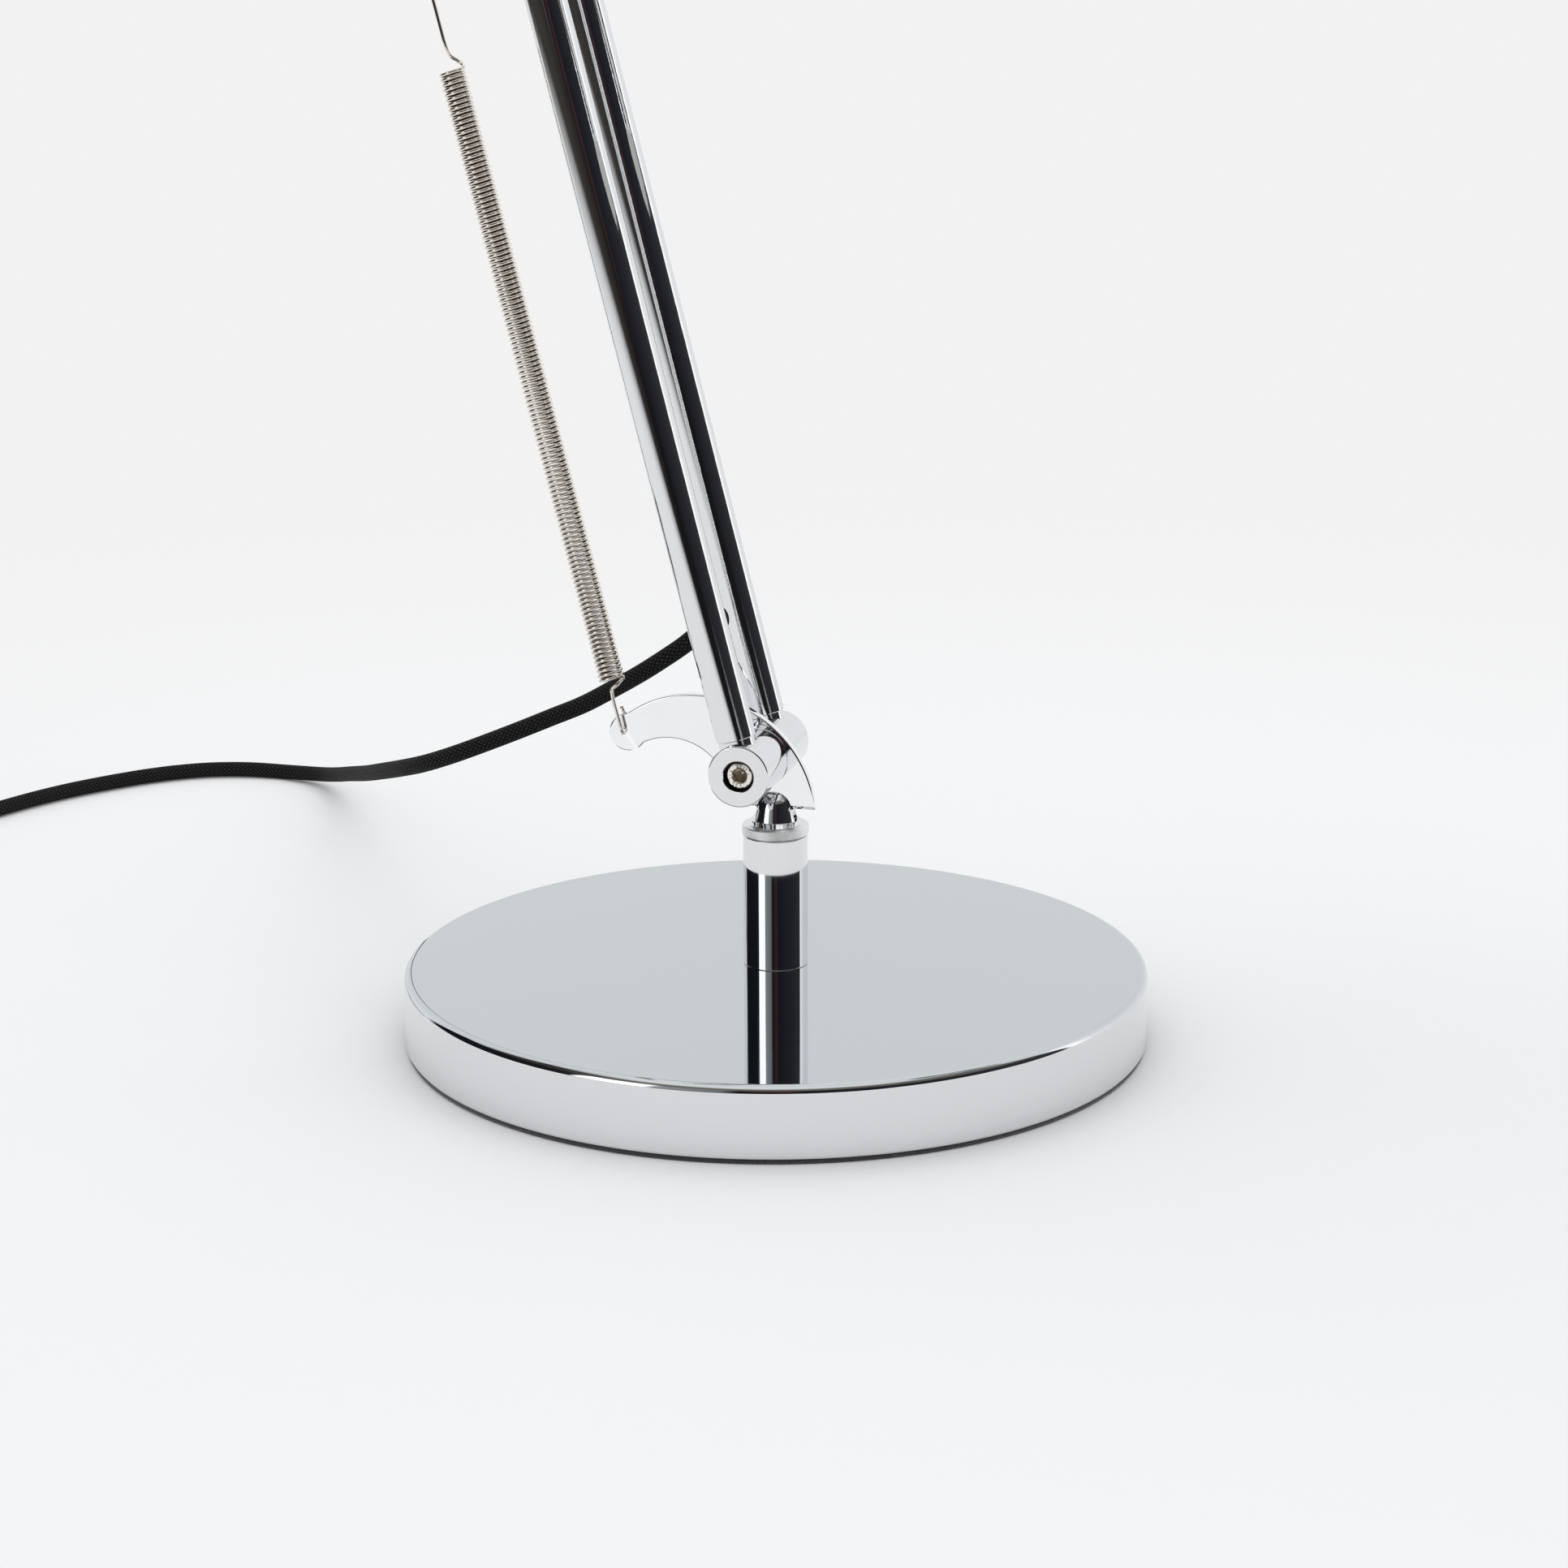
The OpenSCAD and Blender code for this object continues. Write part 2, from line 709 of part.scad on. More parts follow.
module lower_arm_cable() color([0.05, 0.05, 0.05]) {
    at_lower() translate([-cable_rest, tube_y, cord_hole_at + inner_cable_gap])
        cylinder(r = cord_r, h = lower_len - 2 * cord_hole_at - 2 * inner_cable_gap);
}

// Spring: a hook on the lower bracket's horn, the coil, and a straight leg to the elbow's horn

coil_pitch = coil_len / coil_turns;
function coil_point(q) = [
    -spring_out + spring_r * cos(360 * q), spring_r * sin(360 * q), coil_start + coil_pitch * q
];
echo("spring's least gap to itself", coil_pitch - wire_d);

module wire(p) {
    at_lower() swept(p, wire_d / 2, form_sides);
}

// The coil and its long straight leg are one wire. Each end of the coil is straight for one wire's width.
leg_start = coil_end + 5;
top_hook_len = 17;
wire_gap = 0.3;
leg_end = link_hook_up - top_hook_len - wire_gap;
spring_path = [
    [-spring_out + spring_r, -wire_d, coil_start],
    for (i = [0 : coil_turns * rings_per_curl]) coil_point(i / rings_per_curl),
    [-spring_out + spring_r, wire_d, coil_end], [-spring_out + 2.8, 1.9, coil_end + 1.6],
    [-spring_out + 1, 1.4, coil_end + 3.2], [-spring_out, 0.4, leg_start],
    [-spring_out, 0, leg_start + 6], [-spring_out, 0, leg_end]
];

module spring_coil() color("darkkhaki") {
    wire(spring_path);
}

// A hook's wire goes through the slit and comes back up on the plate's other side
hook_bend = [
    [0.1, -3.55, 13], [0, -3.6, 9], [0, -3.6, 4], [0, -3.5, 1.6], [0, -2.8, 0.45], [0, -1.6, 0], [0, 0, 0],
    [0, 1.6, 0], [0, 2.8, 0.45], [0.1, 3.5, 1.6], [0.7, 3.6, 4], [1.3, 3.6, 7], [1.2, 3.6, 9.4]
];
// Below, it comes off the coil's end and crosses to the middle first. Above, it carries on from the leg.
hook_root = [
    [spring_r, -wire_d - wire_gap, hook_len], [spring_r, -1.9, hook_len - 0.1], [3.1, -2.6, 16.1],
    [2.2, -3.2, 15.4], [0.6, -3.45, 14.6]
];
top_hook_root = [[0, 0, top_hook_len], [0, -0.1, 16.3], [0, -0.9, 15.3], [0, -2.3, 14.3]];
function hook_path(p, first, s) = [for (q = p) [-spring_out + q[0], q[1], first + s * q[2]]];

module spring_hook() color("darkkhaki") {
    wire(hook_path(concat(hook_root, hook_bend), hook_up, 1));
}

module spring_top_hook() color("darkkhaki") {
    wire(hook_path(concat(top_hook_root, hook_bend), link_hook_up, -1));
}

// Upper arm

module elbow_bracket() color("silver") {
    translate(elbow) elbow_bracket_plate();
}

module elbow_friction_washers() color("darkgray") {
    translate(elbow) friction_washers();
}

upper_holes = [[cord_hole_at, 0], [upper_len - cord_hole_at, 0]];

module root_barrels() color("silver") {
    at_upper() for (side = [-1, 1]) barrel(side);
}

module root_spacers() color("darkgray") {
    translate(root) friction_washers();
}

module upper_tube_front() color("silver") { at_upper() arm_tube(upper_len, -1, []); }
module upper_tube_rear() color("silver") { at_upper() arm_tube(upper_len, 1, upper_holes); }

module tip_barrels() color("silver") {
    at_upper(upper_len) mirror([0, 0, 1]) for (side = [-1, 1]) barrel(side);
}

module upper_arm_bolts() color("darkkhaki") {
    for (up = [0, upper_len]) at_upper(up) bolt();
}

module upper_arm_nuts() color("darkgray") {
    for (up = [0, upper_len]) at_upper(up) nut();
}

module upper_cord_bushes() color([0.05, 0.05, 0.05]) {
    at_upper() for (hole = upper_holes) cord_bush(hole[0], hole[1]);
}

// A smooth loop of cable between two holes: a Bezier curve that leaves each hole straight
function bezier(a, b, c, d, q) =
    pow(1 - q, 3) * a + 3 * q * pow(1 - q, 2) * b + 3 * q * q * (1 - q) * c + pow(q, 3) * d;
loop_steps = 14;
loop_start = tube_r + 0.4;
elbow_slack = 48;
head_slack = 30;

function hole_point(frame_point, out) = [frame_point[0] + out, frame_point[1], frame_point[2]];

module loop(a, a_out, b, b_out) {
    swept([for (i = [0 : loop_steps]) bezier(a, a_out, b_out, b, i / loop_steps)], cord_r, cord_sides);
}

elbow_hole = [0, tube_y, lower_len - cord_hole_at];
root_hole = [0, tube_y, cord_hole_at];
tip_hole = [0, tube_y, upper_len - cord_hole_at];

module upper_arm_cable() color([0.05, 0.05, 0.05]) {
    loop(on_lower(hole_point(elbow_hole, loop_start)), on_lower(hole_point(elbow_hole, elbow_slack)),
         on_upper(hole_point(root_hole, loop_start)), on_upper(hole_point(root_hole, elbow_slack)));
    at_upper() translate([cable_rest, tube_y, cord_hole_at + inner_cable_gap])
        cylinder(r = cord_r, h = upper_len - 2 * cord_hole_at - 2 * inner_cable_gap);
}

// Head

module head_bracket() color("silver") {
    difference() {
        at_head() link_plate(barrel_r + 1.5, tongue_w / 2, head_flange_w - seat_gap);
        at_head(head_flange_w - pin_up) bar_y(pin_r, -plate_t, plate_t);
    }
}

module head_friction_washers() color("darkgray") {
    at_head() friction_washers();
}

head_stem = 16;

module head_neck() color("silver") {
    at_head(cap_top_w) difference() {
        neck_body(head_stem);
        translate([0, 0, -head_stem - cut_over]) cylinder(r = 1.6, h = head_stem);
    }
}

module head_pin() color("darkgray") {
    at_head(head_flange_w - pin_up) bar_y(pin_r, -neck_cone_d / 2 + 1, neck_cone_d / 2 - 1);
}

module head_nut() color("darkgray") {
    at_head(cap_top_w + cap_wall + stem_nut_h) stem_nut();
}

vent_count = 12;
vent_r = 1.8;
vent_w = cap_top_w + 12;

module cap() color("silver") {
    difference() {
        at_head(cap_end_w) difference() {
            cylinder(r = cap_r, h = cap_h, $fn = 128);
            translate([0, 0, -cut_over])
                cylinder(r = cap_r - cap_wall, h = cap_h - cap_wall + cut_over, $fn = 128);
        }
        at_head(cap_top_w + cap_wall + cut_over) {
            cylinder(r = stem_d / 2 + slip_clear, h = cap_wall + 2 * cut_over);
            translate([button_x, button_y, 0]) cylinder(r = button_d / 2 + 0.3, h = cap_wall + 2 * cut_over);
            translate([gland_x, 0, 0]) cylinder(r = gland_r + run_clear, h = cap_wall + 2 * cut_over);
        }
        for (k = [0 : vent_count - 1])
            at_head(vent_w) rotate([0, 0, 360 * (k + 0.5) / vent_count]) rotate([0, 90, 0])
                translate([0, 0, cap_r - cap_wall - cut_over])
                    cylinder(r = vent_r, h = cap_wall + 2 * cut_over, $fn = 24);
    }
}

gland_h = 7;
gland_tail = 3;
gland_flange_h = 1.5;
cable_below_cap = 8;

module cap_gland() color([0.05, 0.05, 0.05]) {
    at_head(cap_top_w) translate([gland_x, 0, 0]) difference() {
        union() {
            translate([0, 0, -cap_wall - gland_tail])
                cylinder(r = gland_r, h = cap_wall + gland_tail + 0.5);
            cylinder(r = gland_r + 1.4, h = gland_flange_h);
            translate([0, 0, gland_flange_h])
                cylinder(r1 = gland_r + 0.8, r2 = gland_r - 0.4, h = gland_h - gland_flange_h);
        }
        translate([0, 0, -cap_wall - gland_tail - cut_over])
            cylinder(r = cord_r + cord_clear, h = gland_h + 10);
    }
}

module head_cable() color([0.05, 0.05, 0.05]) {
    mouth = head + [gland_x, 0, -cap_top_w + gland_h - 1];
    loop(on_upper(hole_point(tip_hole, loop_start)), on_upper(hole_point(tip_hole, head_slack)),
         mouth, mouth + [0, 0, head_slack]);
    at_head(cap_top_w + cap_wall + cable_below_cap) translate([gland_x, 0, 0])
        cylinder(r = cord_r, h = cap_wall + cable_below_cap + gland_h - 1);
}

// Shade: a bell that turns about the head's axis. r and w are its radius and its depth below the cap.
shade_steps = 22;
shade_top_r = cap_r;
shade_a = [shade_top_r, 0];
shade_b = [shade_top_r + 0.53 * (shade_r - shade_top_r), 4];
shade_c = [shade_r - 3, 0.42 * shade_h];
shade_e = [shade_r, shade_h - rim_r];
function shade_point(q) = bezier(shade_a, shade_b, shade_c, shade_e, q);
function shade_dir(q) = unit(shade_point(min(q + 0.01, 1)) - shade_point(max(q - 0.01, 0)));
function shade_inner(q) = shade_point(q) + shade_wall * [-shade_dir(q)[1], shade_dir(q)[0]];

module shade() color("silver") {
    at_head(cap_end_w) mirror([0, 0, 1]) rotate_extrude($fn = 128) {
        difference() {
            polygon(concat(
                [[shade_hole_r, 0], [shade_top_r - 0.5, 0]],
                [for (i = [0 : shade_steps]) shade_point(i / shade_steps)],
                [for (i = [shade_steps : -1 : 0]) shade_inner(i / shade_steps)],
                [[shade_top_r - 0.5, shade_wall], [shade_hole_r, shade_wall]]
            ));
        }
        translate([shade_r - rim_r + shade_wall * 0.4, shade_h - rim_r]) circle(r = rim_r, $fn = 32);
    }
}

module shade_ring() color("white") {
    at_head(cap_end_w + shade_wall + ring_h) difference() {
        cylinder(r = ring_r, h = ring_h);
        translate([0, 0, -cut_over]) cylinder(r = holder_r + run_clear, h = ring_h + 2 * cut_over);
    }
}

module lampholder() color("white") {
    at_head(holder_end_w) difference() {
        union() {
            cylinder(r = holder_r, h = holder_end_w - holder_top_w - 2);
            translate([0, 0, holder_end_w - cap_end_w])
                cylinder(r = holder_body_r, h = cap_end_w - holder_top_w);
        }
        translate([0, 0, -cut_over]) cylinder(r = bulb_cap_d / 2 + 0.3, h = bulb_cap_l + 6);
        translate([0, 0, holder_end_w - holder_top_w - holder_wall])
            cylinder(r = stem_d / 2, h = 3 * holder_wall);
    }
}

bulb_cap_l = 27;
bulb_top_w = holder_end_w - bulb_cap_l + 2;
bulb_r = bulb_d / 2;
bulb_glass_wall = 1;
bulb_mid_below = 68;
bulb_mid_w = bulb_top_w + bulb_mid_below;
bulb_neck_w = bulb_top_w + bulb_cap_l;
bulb_neck_step = 0.6;
bulb_neck_in = 8;
bulb_neck_r = bulb_cap_d / 2 - bulb_neck_step;

// The screw cap is a metal cup round the glass's neck
module bulb_cap() color("silver") {
    at_head(bulb_neck_w) difference() {
        union() {
            cylinder(r = bulb_cap_d / 2, h = bulb_cap_l - 3);
            cylinder(r = bulb_cap_d / 2 - 6, h = bulb_cap_l);
        }
        translate([0, 0, -cut_over]) cylinder(r = bulb_neck_r, h = bulb_cap_l - 4);
    }
}

// The glass, a thin bag that is open at its neck. w is its depth below the head's pivot, grow its skin.
module bulb_form(grow) {
    past = grow < 0 ? cut_over : 0;
    intersection() {
        union() {
            translate([0, bulb_mid_w]) circle(r = bulb_r + grow);
            polygon([
                [0, bulb_neck_w - bulb_neck_in - past],
                [bulb_neck_r + grow, bulb_neck_w - bulb_neck_in - past],
                [bulb_neck_r + grow, bulb_neck_w + 1], [bulb_neck_r + 3 + grow, bulb_neck_w + 7],
                [bulb_r * 0.94 + grow, bulb_mid_w - bulb_r * 0.342], [0, bulb_mid_w]
            ]);
        }
        translate([0, bulb_neck_w - bulb_neck_in - 2 * cut_over]) square([2 * bulb_r, 4 * bulb_r]);
    }
}

module bulb() color("ivory") {
    at_head() mirror([0, 0, 1]) rotate_extrude() difference() {
        bulb_form(0);
        bulb_form(-bulb_glass_wall);
    }
}

switch_h = 12;

module switch_body() color([0.08, 0.08, 0.08]) {
    at_head(cap_top_w + cap_wall + switch_h) translate([button_x, button_y, 0]) difference() {
        cylinder(r = switch_r, h = switch_h);
        translate([0, 0, switch_h - button_travel - 3]) cylinder(r = button_d / 2 + 0.1, h = switch_h);
    }
}

module switch_button() color([0.08, 0.08, 0.08]) {
    at_head(cap_top_w + cap_wall + 2.5) translate([button_x, button_y, 0])
        cylinder(r = button_d / 2, h = cap_wall + 2.5 + button_travel + 1.5);
}

// Cord on the table

module cord_drop() color([0.05, 0.05, 0.05]) {
    swept(drop_points, cord_r, cord_sides);
}

module cord_run() color([0.05, 0.05, 0.05]) {
    swept(run_points, cord_r, cord_sides);
    swept(tail_points, cord_r, cord_sides);
}

// The coil spirals in on the table, climbs a layer where it turns back, and spirals out on top
coil_first = run_points[len(run_points) - 1];
coil_side = [sin(coil_heading), -cos(coil_heading)];
coil_mid = [coil_first[0] + coil_outer_r * coil_side[0], coil_first[1] + coil_outer_r * coil_side[1]];
function smooth(q) = q <= 0 ? 0 : q >= 1 ? 1 : q * q * (3 - 2 * q);
function loop_r(t) = coil_inner_r + turn_pitch * abs(t - cord_turns / 2);
function loop_z(t) = cord_z + turn_pitch * smooth((t - cord_turns / 2 + 0.25) / 0.5);
function loop_angle(t) = coil_heading + 90 - 360 * t;
function loop_point(t) = [
    coil_mid[0] + loop_r(t) * cos(loop_angle(t)), coil_mid[1] + loop_r(t) * sin(loop_angle(t)), loop_z(t)
];
loop_path = [for (i = [0 : cord_turns * rings_per_loop]) loop_point(i / rings_per_loop)];

function least(v) = min(v);
self_gap = least([
    for (i = [0 : len(loop_path) - 1], j = [i + rings_per_loop / 2 : 1 : len(loop_path) - 1])
        norm(loop_path[i] - loop_path[j])
]) - cord_d;
echo("cord coil's least gap to itself", self_gap);

function path_length(p) = len(p) < 2 ? 0
    : [for (i = 1, s = norm(p[1] - p[0]); i < len(p);
            i = i + 1, s = i < len(p) ? s + norm(p[i] - p[i - 1]) : s) s][len(p) - 2];
echo("cord lengths", path_length(drop_points), path_length(run_points), path_length(loop_path),
     path_length(tail_points));

module cord_coil() color([0.05, 0.05, 0.05]) {
    swept(loop_path, cord_r, form_sides);
}

tie_angle = loop_angle(0.3);

module cord_tie() color([0.12, 0.12, 0.12]) {
    inner = coil_inner_r - cord_r - 0.6;
    outer = coil_outer_r + cord_r + 0.6;
    height = turn_pitch + cord_d + 0.6;
    translate([coil_mid[0], coil_mid[1], 0]) rotate([0, 0, tie_angle]) translate([0, tie_w / 2, 0])
        rotate([90, 0, 0]) linear_extrude(height = tie_w) difference() {
            translate([inner - tie_t, 0]) square([outer - inner + 2 * tie_t, height + 2 * tie_t]);
            translate([inner, tie_t]) square([outer - inner, height]);
        }
}

plug_at = tail_points[len(tail_points) - 1];
pin_in = 6;

module at_plug() {
    translate(plug_at) rotate([0, 0, plug_heading]) children();
}

// Plug, drawn with its cord end at the origin and its pins towards +X
module plug_outline() {
    nose = 6;
    union() {
        translate([relief_l + nose, -plug_w / 2]) square([plug_l - nose, plug_w]);
        translate([relief_l, -plug_w / 2 + nose]) square([plug_l, plug_w - 2 * nose]);
        for (side = [-1, 1])
            translate([relief_l + nose, side * (plug_w / 2 - nose)]) circle(r = nose);
    }
}

module plug_body() color([0.05, 0.05, 0.05]) {
    at_plug() difference() {
        union() {
            translate([0, 0, -plug_t / 2]) linear_extrude(height = plug_t) plug_outline();
            rotate([0, 90, 0]) cylinder(r1 = cord_r + 0.8, r2 = plug_t / 2 - 1, h = relief_l + 1);
        }
        for (side = [-1, 1])
            translate([relief_l + plug_l - pin_in, side * pin_pitch / 2, 0]) rotate([0, 90, 0])
                cylinder(r = pin_d / 2, h = pin_in + cut_over);
    }
}

module plug_pins() color("silver") {
    at_plug() for (side = [-1, 1])
        translate([relief_l + plug_l - pin_in, side * pin_pitch / 2, 0]) rotate([0, 90, 0])
            cylinder(r = pin_d / 2, h = pin_in + pin_l);
}

base_cover();
base_weight();
base_felt();
post();
post_rod();
post_washer();
post_nut();
collar();
swivel_neck();
neck_washer();
neck_nut();
lower_bracket();
bracket_pin();
lower_friction_washers();
lower_barrel_front();
lower_barrel_rear();
lower_tube_front();
lower_tube_rear();
elbow_barrel_front();
elbow_barrel_rear();
lower_arm_bolts();
lower_arm_nuts();
lower_cord_bushes();
lower_arm_cable();
spring_hook();
spring_coil();
spring_top_hook();
elbow_bracket();
elbow_friction_washers();
root_barrels();
root_spacers();
upper_tube_front();
upper_tube_rear();
tip_barrels();
upper_arm_bolts();
upper_arm_nuts();
upper_cord_bushes();
upper_arm_cable();
head_bracket();
head_friction_washers();
head_neck();
head_pin();
head_nut();
cap();
cap_gland();
head_cable();
shade();
shade_ring();
lampholder();
bulb_cap();
bulb();
switch_body();
switch_button();
cord_drop();
cord_run();
cord_coil();
cord_tie();
plug_body();
plug_pins();
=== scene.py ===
import math

import bmesh
import bpy
from mathutils import Matrix, Vector


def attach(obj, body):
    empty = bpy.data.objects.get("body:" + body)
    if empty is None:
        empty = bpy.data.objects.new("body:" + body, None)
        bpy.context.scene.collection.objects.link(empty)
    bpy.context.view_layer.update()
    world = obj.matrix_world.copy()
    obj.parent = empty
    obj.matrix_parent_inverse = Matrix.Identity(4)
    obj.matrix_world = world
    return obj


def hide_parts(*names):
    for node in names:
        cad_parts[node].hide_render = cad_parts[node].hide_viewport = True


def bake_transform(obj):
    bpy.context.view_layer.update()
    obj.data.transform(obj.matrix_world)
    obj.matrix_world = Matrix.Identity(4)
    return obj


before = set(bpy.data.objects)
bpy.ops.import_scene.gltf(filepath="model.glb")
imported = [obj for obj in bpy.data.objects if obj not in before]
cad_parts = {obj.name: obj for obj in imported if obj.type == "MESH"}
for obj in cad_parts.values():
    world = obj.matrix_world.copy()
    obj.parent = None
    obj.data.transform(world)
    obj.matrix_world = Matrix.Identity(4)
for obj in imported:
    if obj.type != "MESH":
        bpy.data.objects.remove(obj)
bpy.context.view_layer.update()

# Sizes of the lamp in millimetres, as in the part's source

MM = 0.001
FULL_TURN = 2 * math.pi
QUARTER = math.pi / 2
LEAN = math.radians(14.4)
RISE = math.radians(8)
LOWER_LENGTH = 360.0
UPPER_LENGTH = 330.0
PIVOT = Vector((-5.1, 0.0, 88.6))
ARM_UP = Vector((-math.sin(LEAN), 0.0, math.cos(LEAN)))
ARM_OUT = Vector((-math.cos(LEAN), 0.0, -math.sin(LEAN)))
ELBOW = PIVOT + LOWER_LENGTH * ARM_UP
ROOT_LOCAL = (-2.6, 31.0)
ROOT = ELBOW - ROOT_LOCAL[0] * ARM_OUT + ROOT_LOCAL[1] * ARM_UP
HEAD = ROOT + UPPER_LENGTH * Vector((math.cos(RISE), 0.0, math.sin(RISE)))

TUBE_R = 6.15
TUBE_BORE_R = 5.15
TUBE_Y = 16.4
INNER_FACE = 2.0
BARREL_R = 9.5
BARREL_LENGTH = 21.7
BOLT_HOLE_R = 2.55
SHOULDER_AT = 10.5
CORD_HOLE_AT = 43.0
CORD_HOLE_TURN = math.radians(218)

OUTER_MID = (-19.3, -18.4)
OUTER_R = 37.5
INNER_MID = (-27.9, -14.3)
INNER_R = 19.0
HORN_MID = (-41.6, 5.7)
HORN_R = 5.9
HOOK = (-42.6, 5.5)
SLIT_R = 1.2
SLIT_TURN = math.radians(-56)
PLATE_T = 3.0
TAIL_DROP = 15.3

SPRING_OUT = 39.894
SPRING_R = 3.55
WIRE_R = 0.55
HOOK_UP = 15.921
COIL_START = HOOK_UP + 16.6
COIL_LENGTH = 190.0
COIL_TURNS = 127
TOP_HOOK_UP = LOWER_LENGTH - HOOK_UP

CORD_R = 2.8
CAP_TOP_W = 33.6
CAP_END_W = 83.6
SHADE_DROP = 105.0

# Places along the arms


def moved(x, y, z):
    return Matrix.Translation((x, y, z))


def rotated(angle, axis):
    return Matrix.Rotation(angle, 4, axis)


def at_lower(up=0.0):
    return Matrix.Translation(PIVOT) @ rotated(-LEAN, "Y") @ moved(0, 0, up)


def at_upper(up=0.0):
    return Matrix.Translation(ROOT) @ rotated(QUARTER - RISE, "Y") @ moved(0, 0, up)


def at_head(down=0.0):
    return Matrix.Translation(HEAD) @ moved(0, 0, -down)


HERE = Matrix.Identity(4)
TO_METRES = Matrix.Scale(MM, 4)
ALONG_BACK = rotated(-QUARTER, "X")
ALONG_FRONT = rotated(QUARTER, "X")
ALONG_X = rotated(QUARTER, "Y")


def metres(points):
    return [Vector(p) * MM for p in points]


def facing(spot, target):
    """At the spot, turned to the target as a camera or a lamp is."""
    return Matrix.Translation(spot) @ (target - spot).to_track_quat("-Z", "Y").to_matrix().to_4x4()


def new_object(name, data):
    obj = bpy.data.objects.new(name, data)
    bpy.context.scene.collection.objects.link(obj)
    return obj


# The camera stands where the photographer's did

camera_data = bpy.data.cameras.new("lamp_camera")
camera_data.lens = 87.56
camera_data.sensor_width = 36.0
camera_data.clip_end = 30.0
camera = new_object("lamp_camera", camera_data)
camera_spot = Vector((0.2975, -1.0874, 0.3865))
camera_aim = Vector((0.0026, 0.0007, 0.0806))
camera_roll = math.radians(-0.19)
camera.matrix_world = facing(camera_spot, camera_aim) @ rotated(camera_roll, "Z")
bpy.context.scene.camera = camera

# Small steps of work by hand


def nothing_selected():
    for obj in list(bpy.context.selected_objects):
        obj.select_set(False)


def only(obj):
    nothing_selected()
    obj.select_set(True)
    bpy.context.view_layer.objects.active = obj


def take(name):
    obj = bpy.context.object
    obj.name = name
    obj.data.name = name
    return obj


def keep_place():
    """Takes the piece's place into its mesh."""
    bpy.ops.object.transform_apply(location=True, rotation=True, scale=True)


def lay(obj, place):
    obj.matrix_world = place
    only(obj)
    keep_place()
    return obj


def pick_all():
    bpy.ops.mesh.select_all(action="SELECT")


def edit(obj):
    only(obj)
    bpy.ops.object.mode_set(mode="EDIT")
    bpy.ops.mesh.select_mode(type="VERT")
    pick_all()


def leave():
    bpy.ops.object.mode_set(mode="OBJECT")


def extrude(x, y, z):
    bpy.ops.mesh.extrude_region_move(TRANSFORM_OT_translate={"value": (x, y, z)})


def faces_out():
    pick_all()
    bpy.ops.mesh.normals_make_consistent(inside=False)


def close_up():
    """Merges doubled points and turns the faces outwards."""
    pick_all()
    bpy.ops.mesh.remove_doubles(threshold=0.0005)
    faces_out()


def pick_faces(obj, test):
    """Selects the faces whose middle and normal pass the test."""
    bpy.ops.mesh.select_mode(type="FACE")
    bpy.ops.mesh.select_all(action="DESELECT")
    mesh = bmesh.from_edit_mesh(obj.data)
    for face in mesh.faces:
        face.select_set(test(face.calc_center_median(), face.normal))
    bmesh.update_edit_mesh(obj.data)


def drawn(name, points):
    """A line drawn from point to point, starting at a tiny plane merged to its middle."""
    nothing_selected()
    bpy.ops.mesh.primitive_plane_add(size=0.1, location=(0, 0, 0))
    piece = take(name)
    edit(piece)
    bpy.ops.mesh.merge(type="CENTER")
    bpy.ops.transform.translate(value=points[0])
    for a, b in zip(points, points[1:]):
        extrude(b[0] - a[0], b[1] - a[1], b[2] - a[2])
    pick_all()
    return piece


def soften(width, segments=3, sharpness=28):
    """Rounds every sharp edge of the piece in edit mode."""
    bpy.ops.mesh.select_mode(type="EDGE")
    bpy.ops.mesh.select_all(action="DESELECT")
    bpy.ops.mesh.edges_select_sharp(sharpness=math.radians(sharpness))
    bpy.ops.mesh.bevel(offset=width, segments=segments, profile=0.5, clamp_overlap=True)


def ease(obj, width, segments=3, sharpness=28):
    edit(obj)
    soften(width, segments, sharpness)
    leave()


def add_modifier(obj, kind, **values):
    modifier = obj.modifiers.new(kind.lower(), kind)
    for key, value in values.items():
        setattr(modifier, key, value)
    only(obj)
    bpy.ops.object.modifier_apply(modifier=modifier.name)


def smooth(obj, angle=35):
    only(obj)
    bpy.ops.object.shade_smooth_by_angle(angle=math.radians(angle))
    add_modifier(obj, "WEIGHTED_NORMAL", keep_sharp=True, weight=50)


def cut(obj, cutter, operation="DIFFERENCE"):
    """Cuts or joins with another piece, which is used up."""
    add_modifier(obj, "BOOLEAN", object=cutter, operation=operation, solver="EXACT")
    bpy.data.objects.remove(cutter, do_unlink=True)


def turned(name, profile, steps=96):
    """A turned piece about Z, from its profile of (radius, height)."""
    piece = drawn(name, [(r, 0.0, z) for r, z in profile])
    bpy.ops.mesh.spin(steps=steps, angle=FULL_TURN, center=(0, 0, 0), axis=(0, 0, 1))
    close_up()
    leave()
    return piece


def slab(name, outline, thickness, round_by):
    """A flat plate in the XZ plane, about Y = 0, with rounded edges."""
    piece = drawn(name, [(x, -thickness / 2, z) for x, z in outline])
    bpy.ops.mesh.edge_face_add()
    extrude(0, thickness, 0)
    close_up()
    soften(round_by, 4, 40)
    leave()
    return piece


def round_bar(name, radius, length, spot, turn=(0, 0, 0), vertices=64):
    nothing_selected()
    bpy.ops.mesh.primitive_cylinder_add(
        vertices=vertices, radius=radius, depth=length, location=spot, rotation=turn
    )
    keep_place()
    return take(name)


def cross_bar(name, radius, length, x, z):
    """A round bar along Y, for a hole through a plate."""
    return round_bar(name, radius, length, (x, 0, z), (QUARTER, 0, 0), 48)


def block(name, size, spot, turn=(0, 0, 0)):
    nothing_selected()
    bpy.ops.mesh.primitive_cube_add(size=1, location=spot, rotation=turn)
    piece = take(name)
    piece.scale = size
    keep_place()
    return piece


